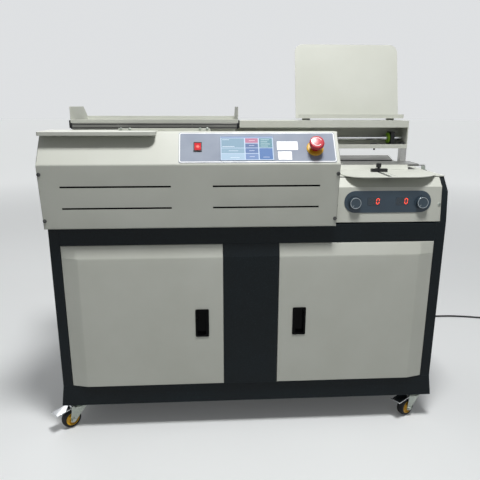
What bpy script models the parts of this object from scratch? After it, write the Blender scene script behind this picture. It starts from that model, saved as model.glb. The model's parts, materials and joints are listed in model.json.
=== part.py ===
import math

import bmesh
import bpy
import numpy as np
from mathutils import Matrix, Vector

# Thermal binding machine: a hot-melt book binder on a wheeled steel cabinet.
# While it is built, x = 0 is the middle of the cabinet, y = 0 is its front plane and z = 0 is the floor.
# At the end the empty that carries everything moves to put the origin at the machine's bottom centre.

for old in list(bpy.data.objects):
    bpy.data.objects.remove(old, do_unlink=True)

# General
clear = 0.0003
overrun = 0.010
weld = 0.001
near_zero = 0.00001
arc_steps = 6
round_segments = 28
small_segments = 16

# Cabinet
cabinet_width = 1.200
cabinet_depth = 0.500
sheet = 0.0015
plinth_bottom = 0.090
plinth_height = 0.067
plinth_flare = 0.007
plinth_wall = 0.002
door_opening_height = 0.4657
top_rail_height = 0.0567
side_top = 0.8165
stile_width = 0.030
upper_stile_width = 0.017
upper_stile_start = 0.684
side_lean = 0.0095
side_bevel_low = 0.776
side_bevel_depth = 0.037
rail_flange = 0.020
deck_thickness = 0.0025
deck_front = 0.042
cable_hole_radius = 0.015
cable_hole_inset = 0.080

half_width = cabinet_width / 2
plinth_top = plinth_bottom + plinth_height
rail_bottom = plinth_top + clear + door_opening_height
rail_top = rail_bottom + top_rail_height
deck_bottom = side_top + clear
deck_top = deck_bottom + deck_thickness
stile_inner = half_width - stile_width

# Rear panel
vent_length = 0.090
vent_height = 0.005
vent_pitch = 0.018
vent_rows = 7
vent_inset = 0.280
vent_low = 0.600

vent_centre_x = half_width - vent_inset

# Doors and centre panel
centre_width = 0.170
centre_proud = 0.012
centre_chamfer_height = 0.038
centre_depth = 0.025
door_gap = 0.001
door_proud = 0.013
door_chamfer_side = 0.050
door_chamfer_top = 0.040
door_depth = 0.018
door_wall = 0.0012
pivot_inset_x = 0.016
pivot_inset_y = 0.005
pivot_radius = 0.003
pivot_reach = 0.006
pivot_block_width = 0.016
pivot_block_height = 0.012
pull_width = 0.042
pull_height = 0.092
pull_corner = 0.004
pull_flange = 0.002
pull_rim = 0.0035
pull_wall = 0.0025
pull_cup_depth = 0.012
pull_grip_depth = 0.004
pull_inset = 0.045
pull_middle = 0.371

door_outer = stile_inner - door_gap
door_inner = centre_width / 2 + door_gap
door_low = plinth_top + door_gap
door_high = rail_bottom - door_gap
hinge_x = door_outer - pivot_inset_x

# Front cover
console_space = 0.3500
cover_bottom_reach = 0.029
cover_top_reach = 0.049
cover_edge_height = 0.867
slope_run = 0.0645
slope_rise = 0.0865
cover_back = 0.050
cover_vent_height = 0.0026
cover_vent_depth = 0.0065
cover_vent_gap = 0.118
cover_vent_left = 0.0574
cover_vent_right = 0.0554
cover_vent_middle = 0.173
cover_vent_row_shares = (0.325, 0.675)
strip_inset = 0.214
strip_length = 0.270
strip_height = 0.0085
strip_slant = 0.006
strip_thickness = 0.0015
strip_room = 0.002

cover_right = half_width - console_space
cover_bottom = rail_top + clear
cover_top = cover_edge_height + slope_rise
strip_left = strip_inset - half_width
strip_right = strip_left + strip_length

# Left table plate
table_sheet = 0.002
left_table_front = -0.030
left_table_back = 0.100
left_table_length = 0.325
left_table_corner = 0.022
left_table_small_corner = 0.0055
left_table_lip = 0.0085
left_table_side = 0.003

left_table_left = left_table_side - half_width
left_table_right = left_table_left + left_table_length

# Control panel on the slope
panel_inset = 0.010
panel_length = 0.449
panel_low = 0.005
panel_high = 0.1045
panel_thickness = 0.0012
panel_corner = 0.006
screen_inset = 0.1785
screen_length = 0.154
screen_low = 0.0105
screen_high = 0.0920
screen_proud = 0.0015
rocker_inset = 0.0536
rocker_v = 0.056
rocker_width = 0.0235
rocker_height = 0.031
rocker_rim = 0.0022
rocker_bezel_proud = 0.0022
rocker_proud = 0.0022
rocker_tilt = 0.0018
rocker_depth = 0.008
stop_inset = 0.0603
stop_v = 0.050
collar_radius = 0.0225
collar_height = 0.0035
stop_head_radius = 0.0212
stop_head_height = 0.014
stop_neck_radius = 0.0110
stop_neck_height = 0.018
stop_travel = 0.004
stop_head_round = 0.005
stop_head_dome = 0.00125

panel_right = cover_right - panel_inset
panel_left = panel_right - panel_length
screen_right = panel_right - screen_inset
screen_left = screen_right - screen_length
rocker_x = panel_left + rocker_inset
stop_x = panel_right - stop_inset

# Right console
console_left_gap = 0.0015
console_lean = 0.0105
console_front = 0.004
console_bottom = 0.6835
console_bend = 0.7895
console_depth = 0.018
console_top_depth = 0.026
console_bend_sheet = 0.0006
plate_width = 0.268
plate_height = 0.066
plate_inset = 0.184
plate_middle_z = 0.7455
plate_thickness = 0.0015
knob_x = 0.103
knob_radius = 0.0170
knob_depth = 0.0150
knob_groove = 0.0012
knob_round = 0.0016
knob_ring_share = 0.80
knob_drop = 0.003
knob_segments = 28
display_x = 0.0437
display_width = 0.039
display_height = 0.023
display_proud = 0.0006
display_lift = 0.0015

plate_middle_x = half_width - plate_inset

# Cover table, side guide
cover_table_inset = 0.0140
cover_table_length = 0.3010
cover_table_front = -0.003
cover_table_back = 0.1800
cover_table_left_corner = 0.060
cover_table_right_corner = 0.100
cover_table_sheet = 0.0025
slot_inset = 0.1700
slot_width = 0.006
slot_front = 0.022
slot_back = 0.170
guide_length = 0.052
guide_width = 0.012
guide_height = 0.010
guide_y = 0.118
guide_offset = 0.0028
guide_key_depth = 0.0020
screw_y_offset = 0.012
thumb_radius = 0.0085
thumb_height = 0.013
thumb_stem_radius = 0.004
thumb_stem_height = 0.006
thumb_ribs = 8
thumb_rib_share = 0.12

cover_table_right = half_width - cover_table_inset
cover_table_left = cover_table_right - cover_table_length
slot_x = cover_table_right - slot_inset
guide_x = slot_x + guide_offset

# Nip
nip_inset = 0.024
nip_length = 0.340
nip_rear_length = 0.2905
nip_gap_front = 0.270
nip_gap_back = 0.300
nip_front_depth = 0.084
nip_plate_thickness = 0.008
nip_plate_top = 0.8400
nip_foot_inset = 0.050
nip_foot_depth = 0.050
nip_rear_height = 0.8567
nip_rear_thickness = 0.010
nip_rear_slant = 0.0155
nip_rear_foot = 0.040

nip_front_right = half_width - nip_inset
nip_left = nip_front_right - nip_length
nip_rear_right = nip_left + nip_rear_length

# Carriage beam
beam_front = 0.360
beam_depth = 0.100
beam_bottom = 0.8761
beam_height = 0.0984
beam_wall = 0.003
beam_low_lip = 0.0151
beam_high_lip = 0.0237
beam_step_depth = 0.022
beam_step_top = 0.9005
beam_side_gap = 0.0005
post_width = 0.0215
post_inset = 0.0005
post_depth = 0.028
post_set_back = 0.002
shaft_radius = 0.008
shaft_y = 0.410
shaft_z = 0.911
bore_clearance = 0.0003
stop_inset_right = 0.0394
stop_length = 0.0141
stop_block_depth = 0.044
stop_block_top = 0.934
buffer_length = 0.0085
buffer_radius = 0.019

beam_top = beam_bottom + beam_height
beam_back = beam_front + beam_depth
stop_right = half_width - stop_inset_right
post_bottom = deck_top + clear

# Carriage
carriage_inset = 0.0575
carriage_length = 0.510
carriage_front = 0.130
carriage_back = 0.349
carriage_sheet = 0.002
carriage_floor = 0.9744
carriage_lip_top = 0.985
carriage_wall_top = 0.9915
carriage_wall_bottom = 0.905
end_plate_top = 1.0229
end_plate_flat = 0.300
rail_depth = 0.050
rail_height = 0.018
jaw_inset = 0.0825
rear_jaw_face = 0.300
jaw_thickness = 0.006
jaw_bottom = 0.868
front_jaw_gap = 0.054
front_jaw_top = 0.9725
guide_rod_radius = 0.005
guide_rod_inset = 0.060
guide_rod_end_gap = 0.0015
bushing_inset = 0.0375
bushing_length = 0.120
bushing_bottom = 0.894
bushing_top = 0.930
bushing_back = 0.430

carriage_left = carriage_inset - half_width
carriage_right = carriage_left + carriage_length
jaw_left = carriage_left + jaw_inset
jaw_right = carriage_right - jaw_inset
bushing_right = carriage_right - bushing_inset
bushing_left = bushing_right - bushing_length

# Cutter, glue tank
cutter_inset = 0.295
cutter_y = 0.273
cutter_radius = 0.038
cutter_tooth = 0.005
cutter_teeth = 12
cutter_land_share = 0.35
cutter_gullet_share = 0.55
cutter_rise_share = 0.95
cutter_disc = 0.010
cutter_top = 0.8455
cutter_hub_radius = 0.016
spindle_radius = 0.007
spindle_reach = 0.018
motor_radius = 0.045
motor_length = 0.115
motor_flange_radius = 0.056
motor_flange_height = 0.006
motor_fins = 16
motor_fin_depth = 0.004
motor_fin_low_share = 0.88
motor_fin_length_share = 0.70
deck_hole_extra = 0.006
tank_inset = 0.140
tank_y = 0.275
tank_length = 0.160
tank_width = 0.100
tank_depth = 0.062
tank_wall = 0.004
tank_rim = 0.014
tank_rim_thickness = 0.002
tank_notch = 0.0043
roller_radius = 0.024
roller_length = 0.066
roller_shaft_radius = 0.004
roller_top = 0.8435

cutter_x = cover_right - cutter_inset
tank_x = cover_right - tank_inset

# Inside the cabinet
bin_inset = 0.060
bin_length = 0.420
bin_front = 0.060
bin_back = 0.440
bin_height = 0.220
bin_wall = 0.0015
bin_taper = 0.012
electrics_inset = 0.070
electrics_length = 0.380
electrics_depth = 0.150
electrics_height = 0.380
electrics_wall = 0.0015
electrics_hole_radius = 0.012
electrics_hole_inset = 0.036

bin_left = bin_inset - half_width
bin_right = bin_left + bin_length
electrics_right = half_width - electrics_inset
electrics_left = electrics_right - electrics_length

# Document rest
rest_inset = 0.0185
rest_width = 0.3849
rest_ledge_inset = 0.0080
rest_ledge_width = 0.390
rest_hinge_y = 0.427
rest_hinge_z = 0.9785
rest_lean = math.radians(15)
rest_length = 0.2725
rest_sheet = 0.002
rest_corner = 0.028
rest_ledge_front = 0.398
rest_ledge_bottom = 0.982
rest_lip = 0.014
rest_lug_inset = 0.049
rest_lug_spread = 0.316
rest_lug_width = 0.016
rest_barrel_radius = 0.003
rest_pin_radius = 0.0012
rest_knuckle_width = 0.006
rest_tab_thickness = 0.002

rest_right = half_width - rest_inset
rest_left = rest_right - rest_width
rest_ledge_right = half_width - rest_ledge_inset
rest_ledge_left = rest_ledge_right - rest_ledge_width
rest_lug_right = half_width - rest_lug_inset
rest_lug_left = rest_lug_right - rest_lug_spread

# Casters
caster_inset_x = 0.035
caster_inset_y = 0.036
caster_plate_x = 0.060
caster_plate_y = 0.056
caster_plate_thickness = 0.004
caster_race_radius = 0.021
caster_race_height = 0.003
caster_pin_radius = 0.005
caster_bowl_radius = 0.020
caster_bowl_height = 0.010
caster_crown_radius = 0.025
caster_crown_thickness = 0.004
caster_leg_gap = 0.0145
caster_leg_thickness = 0.0025
caster_leg_back = 0.019
caster_leg_front = 0.036
caster_leg_end_radius = 0.010
caster_shoulder_flat = 0.008
caster_shoulder_run = 0.012
caster_trail = 0.032
wheel_radius = 0.0315
wheel_width = 0.024
wheel_crown = 0.003
wheel_segments = 28
wheel_rim_radius = 0.021
wheel_rim_step = 0.004
wheel_hub_radius = 0.009
wheel_hub_width = 0.028
axle_radius = 0.004
axle_nut_radius = 0.007
axle_nut_height = 0.005
pedal_pivot_trail = 0.031
pedal_pivot_height = 0.0745
pedal_barrel_radius = 0.004
pedal_length = 0.060
pedal_width = 0.034
pedal_thickness = 0.0025
pedal_drop = 0.008
pedal_tip = 0.006
front_left_turn = math.radians(221)
front_right_turn = math.radians(210)
rear_left_turn = math.radians(160)
rear_right_turn = math.radians(20)

caster_x = half_width - caster_inset_x
caster_race_bottom = plinth_bottom - caster_plate_thickness - caster_race_height
crown_low = caster_race_bottom - clear - caster_bowl_height - caster_crown_thickness
caster_places = {"front_left": (-caster_x, caster_inset_y), "front_right": (caster_x, caster_inset_y),
                 "rear_left": (-caster_x, cabinet_depth - caster_inset_y),
                 "rear_right": (caster_x, cabinet_depth - caster_inset_y)}
caster_turns = {"front_left": front_left_turn, "front_right": front_right_turn,
                "rear_left": rear_left_turn, "rear_right": rear_right_turn}

# Power cord
cord_radius = 0.00425
gland_inset = 0.200
gland_z = 0.215
gland_radius = 0.013
gland_flange = 0.004
gland_sleeve = 0.008
gland_length = 0.034
gland_tip_radius = 0.0065
coil_offset_x = 0.8880
coil_offset_y = 0.2100
coil_outer = 0.0590
coil_pitch = 0.0092
coil_rise = 0.0090
coil_turns_in_layer = 2.5
coil_points_a_turn = 24
coil_start_angle = math.radians(100)
coil_lead = 0.009
plug_length = 0.040
plug_width = 0.036
plug_thickness = 0.0260
plug_relief_length = 0.022
plug_relief_radius = 0.0068
plug_relief_end_radius = 0.0085
plug_grip_share = 0.35
plug_neck_share = 0.30
plug_round = 0.004
plug_blade_length = 0.018
plug_blade_width = 0.0063
plug_blade_thickness = 0.0016
plug_blade_spread = 0.0080
plug_blade_drop = 0.0040
plug_earth_rise = 0.0070
plug_blade_turn = math.radians(30)
cord_point_spacing_share = 2.6
cord_route = [(0.000, 0.058, 0.2140), (0.002, 0.078, 0.2070), (0.008, 0.104, 0.1800),
              (0.016, 0.123, 0.1370), (0.026, 0.136, 0.0900), (0.040, 0.148, 0.0470),
              (0.062, 0.162, 0.0170), (0.094, 0.178, 0.00426), (0.150, 0.199, 0.00426),
              (0.240, 0.229, 0.00426), (0.340, 0.262, 0.00426), (0.440, 0.290, 0.00426),
              (0.530, 0.306, 0.00426), (0.610, 0.311, 0.00426), (0.680, 0.309, 0.00426),
              (0.750, 0.298, 0.00426), (0.812, 0.283, 0.00426), (0.845, 0.276, 0.00426)]

gland_x = half_width - gland_inset
cord_floor = cord_radius + near_zero
coil_centre_x = gland_x + coil_offset_x
coil_centre_y = cabinet_depth + coil_offset_y


# Collections, the carrying empty and materials
parts = bpy.data.collections.new("thermal_binding_machine")
cutters = bpy.data.collections.new("cutters")
bpy.context.scene.collection.children.link(parts)
bpy.context.scene.collection.children.link(cutters)
binder = bpy.data.objects.new("binder", None)
bpy.context.scene.collection.objects.link(binder)


def material(name, red, green, blue, roughness, metallic=0.0):
    made = bpy.data.materials.new(name)
    made.use_nodes = True
    shader = made.node_tree.nodes["Principled BSDF"]
    shader.inputs["Base Color"].default_value = (red, green, blue, 1.0)
    shader.inputs["Roughness"].default_value = roughness
    shader.inputs["Metallic"].default_value = metallic
    return made


def place(obj, finish=None, collection=None):
    """Link an object under the empty, with its own copy of a finish."""
    (collection or parts).objects.link(obj)
    obj.parent = binder
    if finish:
        own = material(obj.name, *finish)
        obj.data.materials.clear()
        obj.data.materials.append(own)
    return obj


light_grey = (0.62, 0.64, 0.58, 0.5)
dark_grey = (0.012, 0.018, 0.024, 0.55)
black = (0.01, 0.01, 0.012, 0.5)
steel = (0.45, 0.45, 0.44, 0.35, 1.0)
chrome = (0.75, 0.75, 0.76, 0.08, 1.0)
zinc = (0.55, 0.57, 0.55, 0.4, 1.0)
tyre_black = (0.02, 0.02, 0.02, 0.8)
screen_blue = (0.35, 0.55, 0.75, 0.2)
label_blue = (0.36, 0.40, 0.47, 0.5)
slate_blue = (0.035, 0.06, 0.085, 0.5)
signal_red = (0.6, 0.02, 0.03, 0.35)
signal_yellow = (0.75, 0.5, 0.02, 0.45)
lime = (0.3, 0.55, 0.03, 0.5)


# Shapes
def mesh_object(name, bm):
    mesh = bpy.data.meshes.new(name)
    bm.to_mesh(mesh)
    bm.free()
    return bpy.data.objects.new(name, mesh)


def slab(name, x, y, z):
    """A box between the low and high values given for each axis, its origin at its middle."""
    bm = bmesh.new()
    bmesh.ops.create_cube(bm, size=1)
    size = Vector((x[1] - x[0], y[1] - y[0], z[1] - z[0]))
    bmesh.ops.scale(bm, vec=size, verts=bm.verts)
    obj = mesh_object(name, bm)
    obj.location = ((x[0] + x[1]) / 2, (y[0] + y[1]) / 2, (z[0] + z[1]) / 2)
    return obj


def turn_to(axis):
    """The rotation that takes +Z to an axis."""
    return Vector((0, 0, 1)).rotation_difference(Vector(axis)).to_matrix().to_4x4()


def rod(name, start, end, radius, segments=round_segments, end_radius=None):
    """A cylinder or cone from one point to another, its origin at its middle."""
    start, end = Vector(start), Vector(end)
    bm = bmesh.new()
    bmesh.ops.create_cone(bm, cap_ends=True, segments=segments, radius1=radius,
                          radius2=radius if end_radius is None else end_radius,
                          depth=(end - start).length)
    bmesh.ops.transform(bm, matrix=turn_to(end - start), verts=bm.verts)
    obj = mesh_object(name, bm)
    obj.location = (start + end) / 2
    smooth(obj)
    return obj


def smooth(obj):
    obj.data.shade_smooth()
    obj.data.set_sharp_from_angle(angle=math.radians(35))


def arc(centre, radius, start, end, steps=arc_steps):
    """Points on an arc, its angles in degrees."""
    angles = np.radians(np.linspace(start, end, steps + 1))
    return [(centre[0] + radius * math.cos(a), centre[1] + radius * math.sin(a)) for a in angles]


def circle(centre, radius, segments=round_segments):
    return arc(centre, radius, 0, 360, segments)[:-1]


def round_box(u, v, radius, steps=arc_steps):
    """A rectangle with round corners between low and high values; radius is one value or four."""
    low_left, low_right, high_right, high_left = radius if isinstance(radius, tuple) else (radius,) * 4
    corners = [((u[0] + low_left, v[0] + low_left), low_left, 180),
               ((u[1] - low_right, v[0] + low_right), low_right, 270),
               ((u[1] - high_right, v[1] - high_right), high_right, 0),
               ((u[0] + high_left, v[1] - high_left), high_left, 90)]
    points = []
    for centre, corner, start in corners:
        points += arc(centre, corner, start, start + 90, steps) if corner else [centre]
    return points


def box_outline(u, v):
    return [(u[0], v[0]), (u[1], v[0]), (u[1], v[1]), (u[0], v[1])]


planes = {"XY": Matrix(((1, 0, 0), (0, 1, 0), (0, 0, 1))),
          "YZ": Matrix(((0, 0, 1), (1, 0, 0), (0, 1, 0))),
          "XZ": Matrix(((1, 0, 0), (0, 0, -1), (0, 1, 0)))}
normals = {"XY": Vector((0, 0, 1)), "YZ": Vector((1, 0, 0)), "XZ": Vector((0, 1, 0))}


def extruded(name, loops, plane, low, high):
    """A flat outline, with its holes, drawn in a plane and given a thickness from low to high."""
    curve = bpy.data.curves.new(name + "_outline", "CURVE")
    curve.dimensions = "2D"
    curve.fill_mode = "BOTH"
    curve.extrude = (high - low) / 2
    for loop in loops:
        spline = curve.splines.new("POLY")
        spline.points.add(len(loop) - 1)
        for point, (u, v) in zip(spline.points, loop):
            point.co = (u, v, 0, 1)
        spline.use_cyclic_u = True
    drawn = bpy.data.objects.new(name + "_outline", curve)
    bpy.context.scene.collection.objects.link(drawn)
    drawn.matrix_world = planes[plane].to_4x4()
    drawn.location = normals[plane] * (low + high) / 2
    bpy.context.view_layer.update()
    flat = drawn.evaluated_get(bpy.context.evaluated_depsgraph_get())
    mesh = bpy.data.meshes.new_from_object(flat)
    bm = bmesh.new()
    bm.from_mesh(mesh)
    bmesh.ops.remove_doubles(bm, verts=bm.verts, dist=near_zero)
    bmesh.ops.recalc_face_normals(bm, faces=bm.faces)
    bm.to_mesh(mesh)
    bm.free()
    mesh.name = name
    obj = bpy.data.objects.new(name, mesh)
    obj.matrix_world = drawn.matrix_world.copy()
    bpy.data.objects.remove(drawn, do_unlink=True)
    return obj


def turned(name, profile, steps=round_segments, closed=False):
    """A profile of (radius, height) points turned about Z; it runs down its outer side."""
    mesh = bpy.data.meshes.new(name)
    count = len(profile)
    edges = [(i, i + 1) for i in range(count - 1)] + ([(count - 1, 0)] if closed else [])
    mesh.from_pydata([(r, 0, h) for r, h in profile], edges, [])
    obj = bpy.data.objects.new(name, mesh)
    screw = obj.modifiers.new("turn", "SCREW")
    screw.steps = steps
    screw.render_steps = steps
    screw.use_merge_vertices = True
    screw.merge_threshold = near_zero
    screw.use_smooth_shade = True
    return obj


def combine(obj, other, operation):
    """A boolean with another object, which then stays as a hidden cutter."""
    if other.name not in cutters.objects:
        place(other, collection=cutters)
    other.hide_render = True
    other.display_type = "WIRE"
    change = obj.modifiers.new(operation.lower(), "BOOLEAN")
    change.operation = operation
    change.solver = "EXACT"
    change.object = other
    return obj


def cut(obj, *others):
    for other in others:
        combine(obj, other, "DIFFERENCE")
    return obj


def fuse(obj, *others):
    for other in others:
        combine(obj, other, "UNION")
    return obj


def bevel(obj, width, segments=2, angle=40):
    rounding = obj.modifiers.new("bevel", "BEVEL")
    rounding.width = width
    rounding.segments = segments
    rounding.limit_method = "ANGLE"
    rounding.angle_limit = math.radians(angle)
    return obj


def settle(obj, matrix=None):
    """Keep the evaluated mesh of an object that is still at the origin, then move it by a matrix."""
    if not obj.users_collection:
        bpy.context.scene.collection.objects.link(obj)
    bpy.context.view_layer.update()
    made = bpy.data.meshes.new_from_object(obj.evaluated_get(bpy.context.evaluated_depsgraph_get()))
    made.transform(obj.matrix_world)
    result = bpy.data.objects.new(obj.name, made)
    name = obj.name
    for change in obj.modifiers:
        if change.type == "BOOLEAN":
            bpy.data.objects.remove(change.object, do_unlink=True)
    bpy.data.objects.remove(obj, do_unlink=True)
    result.name = name
    if matrix:
        result.matrix_world = matrix
    return result


def origin_to(obj, point):
    """Move an object's origin to a point of the cabinet frame, its shape staying where it is."""
    place_now = obj.matrix_basis.copy()
    target = Matrix.Translation(Vector(point)) @ place_now.to_3x3().to_4x4()
    obj.data.transform(target.inverted() @ place_now)
    obj.matrix_basis = target
    return obj


# Cabinet
def make_base_frame():
    base = slab("base_frame", (-half_width, half_width), (0, cabinet_depth), (plinth_bottom, plinth_top))
    for vertex in base.data.vertices:
        if vertex.co.z < 0:
            vertex.co.x += math.copysign(plinth_flare, vertex.co.x)
            vertex.co.y += math.copysign(plinth_flare, vertex.co.y)
    inside = slab("base_inside", (plinth_wall - half_width, half_width - plinth_wall),
                  (plinth_wall, cabinet_depth - plinth_wall),
                  (plinth_bottom + plinth_wall, plinth_top - plinth_wall))
    hole_y = cabinet_depth - cable_hole_inset
    hole = rod("base_cable_hole", (0, hole_y, plinth_top - plinth_wall - overrun),
               (0, hole_y, plinth_top + overrun), cable_hole_radius, small_segments)
    cut(base, inside, hole)
    for side in (-1, 1):
        x = side * hinge_x
        pin_hole = rod(f"base_pivot_hole_{side}", (x, pivot_inset_y, plinth_top - pivot_reach - weld),
                       (x, pivot_inset_y, plinth_top + overrun), pivot_radius + clear, small_segments)
        cut(base, pin_hole)
    for x, y in caster_places.values():
        plate = slab("caster_plate", (x - caster_plate_x / 2, x + caster_plate_x / 2),
                     (y - caster_plate_y / 2, y + caster_plate_y / 2),
                     (plinth_bottom - caster_plate_thickness, plinth_bottom + weld))
        race = rod("caster_race", (x, y, caster_race_bottom), (x, y, plinth_bottom), caster_race_radius)
        fuse(base, plate, race)
        cut(base, rod("caster_bore", (x, y, caster_race_bottom - overrun), (x, y, plinth_bottom),
                      caster_pin_radius + clear, small_segments))
    place(base, dark_grey)


def side_outline(front_cut):
    """The side's outline in Y and Z, with the cover's seat cut out or the console's bevel."""
    low = plinth_top + clear
    if front_cut:
        front = [(0, low), (cabinet_depth, low), (cabinet_depth, side_top),
                 (cover_back + clear, side_top), (cover_back + clear, rail_top), (0, rail_top)]
    else:
        front = [(0, low), (cabinet_depth, low), (cabinet_depth, side_top),
                 (side_lean + side_bevel_depth, side_top), (side_lean, side_bevel_low),
                 (0, upper_stile_start)]
    return front


def inset(points, distance):
    """An outline drawn in by a distance, each corner on the lines of its two sides."""
    result = []
    count = len(points)
    for i in range(count):
        before, here, after = (Vector(points[(i + k) % count]) for k in (-1, 0, 1))
        first, second = (here - before).normalized(), (after - here).normalized()
        first_in, second_in = Vector((-first.y, first.x)), Vector((-second.y, second.x))
        corner = (first_in + second_in) / (1 + first_in.dot(second_in))
        result.append(tuple(here + corner * distance))
    return result


def make_side(name, side):
    outline = side_outline(side < 0)
    outer = sorted((side * half_width, side * stile_inner))
    panel = extruded(name, [outline], "YZ", outer[0], outer[1])
    hollow_to = side * (half_width - sheet)
    hollow_from = side * (stile_inner - overrun)
    hollow = extruded(name + "_hollow", [inset(outline, sheet)], "YZ",
                      min(hollow_to, hollow_from), max(hollow_to, hollow_from))
    cut(panel, hollow)
    if side > 0:
        trim = slab(name + "_trim", (stile_inner - overrun, half_width - upper_stile_width),
                    (-overrun, cabinet_depth / 2), (upper_stile_start, side_top + overrun))
        cut(panel, trim)
    place(panel, dark_grey)


def make_top_rail():
    outline = [(0, rail_bottom), (rail_flange, rail_bottom), (rail_flange, rail_bottom + sheet),
               (sheet, rail_bottom + sheet), (sheet, rail_top - sheet), (rail_flange, rail_top - sheet),
               (rail_flange, rail_top), (0, rail_top)]
    reach = stile_inner - clear
    rail = extruded("top_rail", [outline], "YZ", -reach, reach)
    for side in (-1, 1):
        hole = rod(f"rail_pivot_hole_{side}", (side * hinge_x, pivot_inset_y, rail_bottom - overrun),
                   (side * hinge_x, pivot_inset_y, rail_bottom + overrun), pivot_radius + clear,
                   small_segments)
        cut(rail, hole)
    place(rail, dark_grey)


def make_centre_panel():
    low = plinth_top + clear
    high = rail_bottom - clear
    outline = [(-centre_proud, low), (centre_depth, low), (centre_depth, high), (0, high),
               (-centre_proud, high - centre_chamfer_height)]
    half = centre_width / 2
    panel = extruded("centre_panel", [outline], "YZ", -half, half)
    inner = inset(outline, sheet)
    inner = [(y if y < centre_depth / 2 else centre_depth + overrun, z) for y, z in inner]
    cut(panel, extruded("centre_hollow", [inner], "YZ", sheet - half, half - sheet))
    place(panel, dark_grey)


def make_rear_panel():
    reach = stile_inner - clear
    loops = [box_outline((-reach, reach), (plinth_top + clear, side_top))]
    for side in (-1, 1):
        for row in range(vent_rows):
            z = vent_low + row * vent_pitch
            x = side * vent_centre_x
            loops.append(box_outline((x - vent_length / 2, x + vent_length / 2), (z, z + vent_height)))
    loops.append(circle((gland_x, gland_z), gland_radius - gland_flange, small_segments))
    panel = extruded("rear_panel", loops, "XZ", cabinet_depth - sheet, cabinet_depth)
    place(panel, dark_grey)


def make_deck():
    reach = half_width - clear
    loops = [box_outline((-reach, reach), (deck_front, cabinet_depth))]
    loops.append(circle((cutter_x, cutter_y), cutter_radius + deck_hole_extra))
    tank_reach_x = tank_length / 2 + clear
    tank_reach_y = tank_width / 2 + clear
    loops.append(box_outline((tank_x - tank_reach_x, tank_x + tank_reach_x),
                             (tank_y - tank_reach_y, tank_y + tank_reach_y)))
    loops.append(round_box((slot_x - slot_width / 2, slot_x + slot_width / 2),
                           (deck_front + slot_width, slot_back), slot_width / 2 - near_zero, 3))
    deck = extruded("deck_plate", loops, "XY", deck_bottom, deck_top)
    place(deck, light_grey)


def door_solid(name, side, wall, back):
    """The door's outer form, or with a wall given, the room inside it."""
    outer, inner = door_outer - wall, door_inner + wall
    low, high = door_low + wall, door_high - wall
    field = door_outer - door_chamfer_side - wall
    field_high = door_high - door_chamfer_top - wall
    bm = bmesh.new()
    bmesh.ops.create_cube(bm, size=1)
    bmesh.ops.scale(bm, vec=(outer - inner, back - wall, high - low), verts=bm.verts)
    bmesh.ops.translate(bm, vec=((outer + inner) / 2, (back + wall) / 2, (low + high) / 2), verts=bm.verts)
    front = [face for face in bm.faces if face.normal.y < -0.5]
    grown = bmesh.ops.extrude_face_region(bm, geom=front)["geom"]
    bmesh.ops.delete(bm, geom=front, context="FACES_ONLY")
    for vertex in [item for item in grown if isinstance(item, bmesh.types.BMVert)]:
        vertex.co.y = wall - door_proud
        vertex.co.x = min(vertex.co.x, field)
        vertex.co.z = min(vertex.co.z, field_high)
    bmesh.ops.scale(bm, vec=(side, 1, 1), verts=bm.verts)
    bmesh.ops.recalc_face_normals(bm, faces=bm.faces)
    return mesh_object(name, bm)


def make_door(name, side):
    door = door_solid(name, side, 0, door_depth)
    cut(door, door_solid(name + "_room", side, door_wall, door_depth + overrun))
    x = side * hinge_x
    block_x = (x - pivot_block_width / 2, x + pivot_block_width / 2)
    for low, high, pin_low, pin_high in (
            (door_low, door_low + pivot_block_height, plinth_top - pivot_reach, door_low + weld),
            (door_high - pivot_block_height, door_high, door_high - weld, rail_bottom + pivot_reach)):
        block_y = (pivot_inset_y - pivot_radius - weld, door_depth - weld)
        block = slab(name + "_block", block_x, block_y, (low + near_zero, high - near_zero))
        pin = rod(name + "_pin", (x, pivot_inset_y, pin_low), (x, pivot_inset_y, pin_high),
                  pivot_radius, small_segments)
        fuse(door, block, pin)
    pull_x = side * (door_inner + pull_inset + pull_width / 2)
    hole_reach = pull_width / 2 - pull_rim + clear
    hole_high = pull_height / 2 - pull_rim + clear
    hole = slab(name + "_pull_hole", (pull_x - hole_reach, pull_x + hole_reach),
                (-door_proud - overrun, 0), (pull_middle - hole_high, pull_middle + hole_high))
    cut(door, hole)
    origin_to(door, (side * hinge_x, pivot_inset_y, (door_low + door_high) / 2))
    place(door, light_grey)
    return pull_x


def make_pull(name, side, pull_x):
    """A recessed cup with a flange on the door's face and a finger pocket on its inner side."""
    face = -door_proud
    flange = extruded(name, [round_box((pull_x - pull_width / 2, pull_x + pull_width / 2),
                                       (pull_middle - pull_height / 2, pull_middle + pull_height / 2),
                                       pull_corner)], "XZ", face - clear - pull_flange, face - clear)
    half = pull_width / 2 - pull_rim
    high = pull_height / 2 - pull_rim
    body = slab(name + "_body", (pull_x - half, pull_x + half),
                (face - clear - weld, face + pull_cup_depth + pull_wall),
                (pull_middle - high, pull_middle + high))
    inner = half - pull_wall
    cup = slab(name + "_cup", (pull_x - inner, pull_x + inner), (face - overrun, face + pull_cup_depth),
               (pull_middle - high + pull_wall, pull_middle + high - pull_wall))
    fuse(flange, body)
    cut(flange, cup)
    bar_x = sorted((pull_x - side * inner - side * weld, pull_x - side * (inner - pull_grip_depth)))
    bar = slab(name + "_grip", bar_x, (face - clear - pull_flange + weld, face + pull_grip_depth),
               (pull_middle - high + pull_wall - weld, pull_middle + high - pull_wall + weld))
    fuse(flange, bar)
    origin_to(flange, (side * hinge_x, pivot_inset_y, pull_middle))
    place(flange, black)


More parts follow.
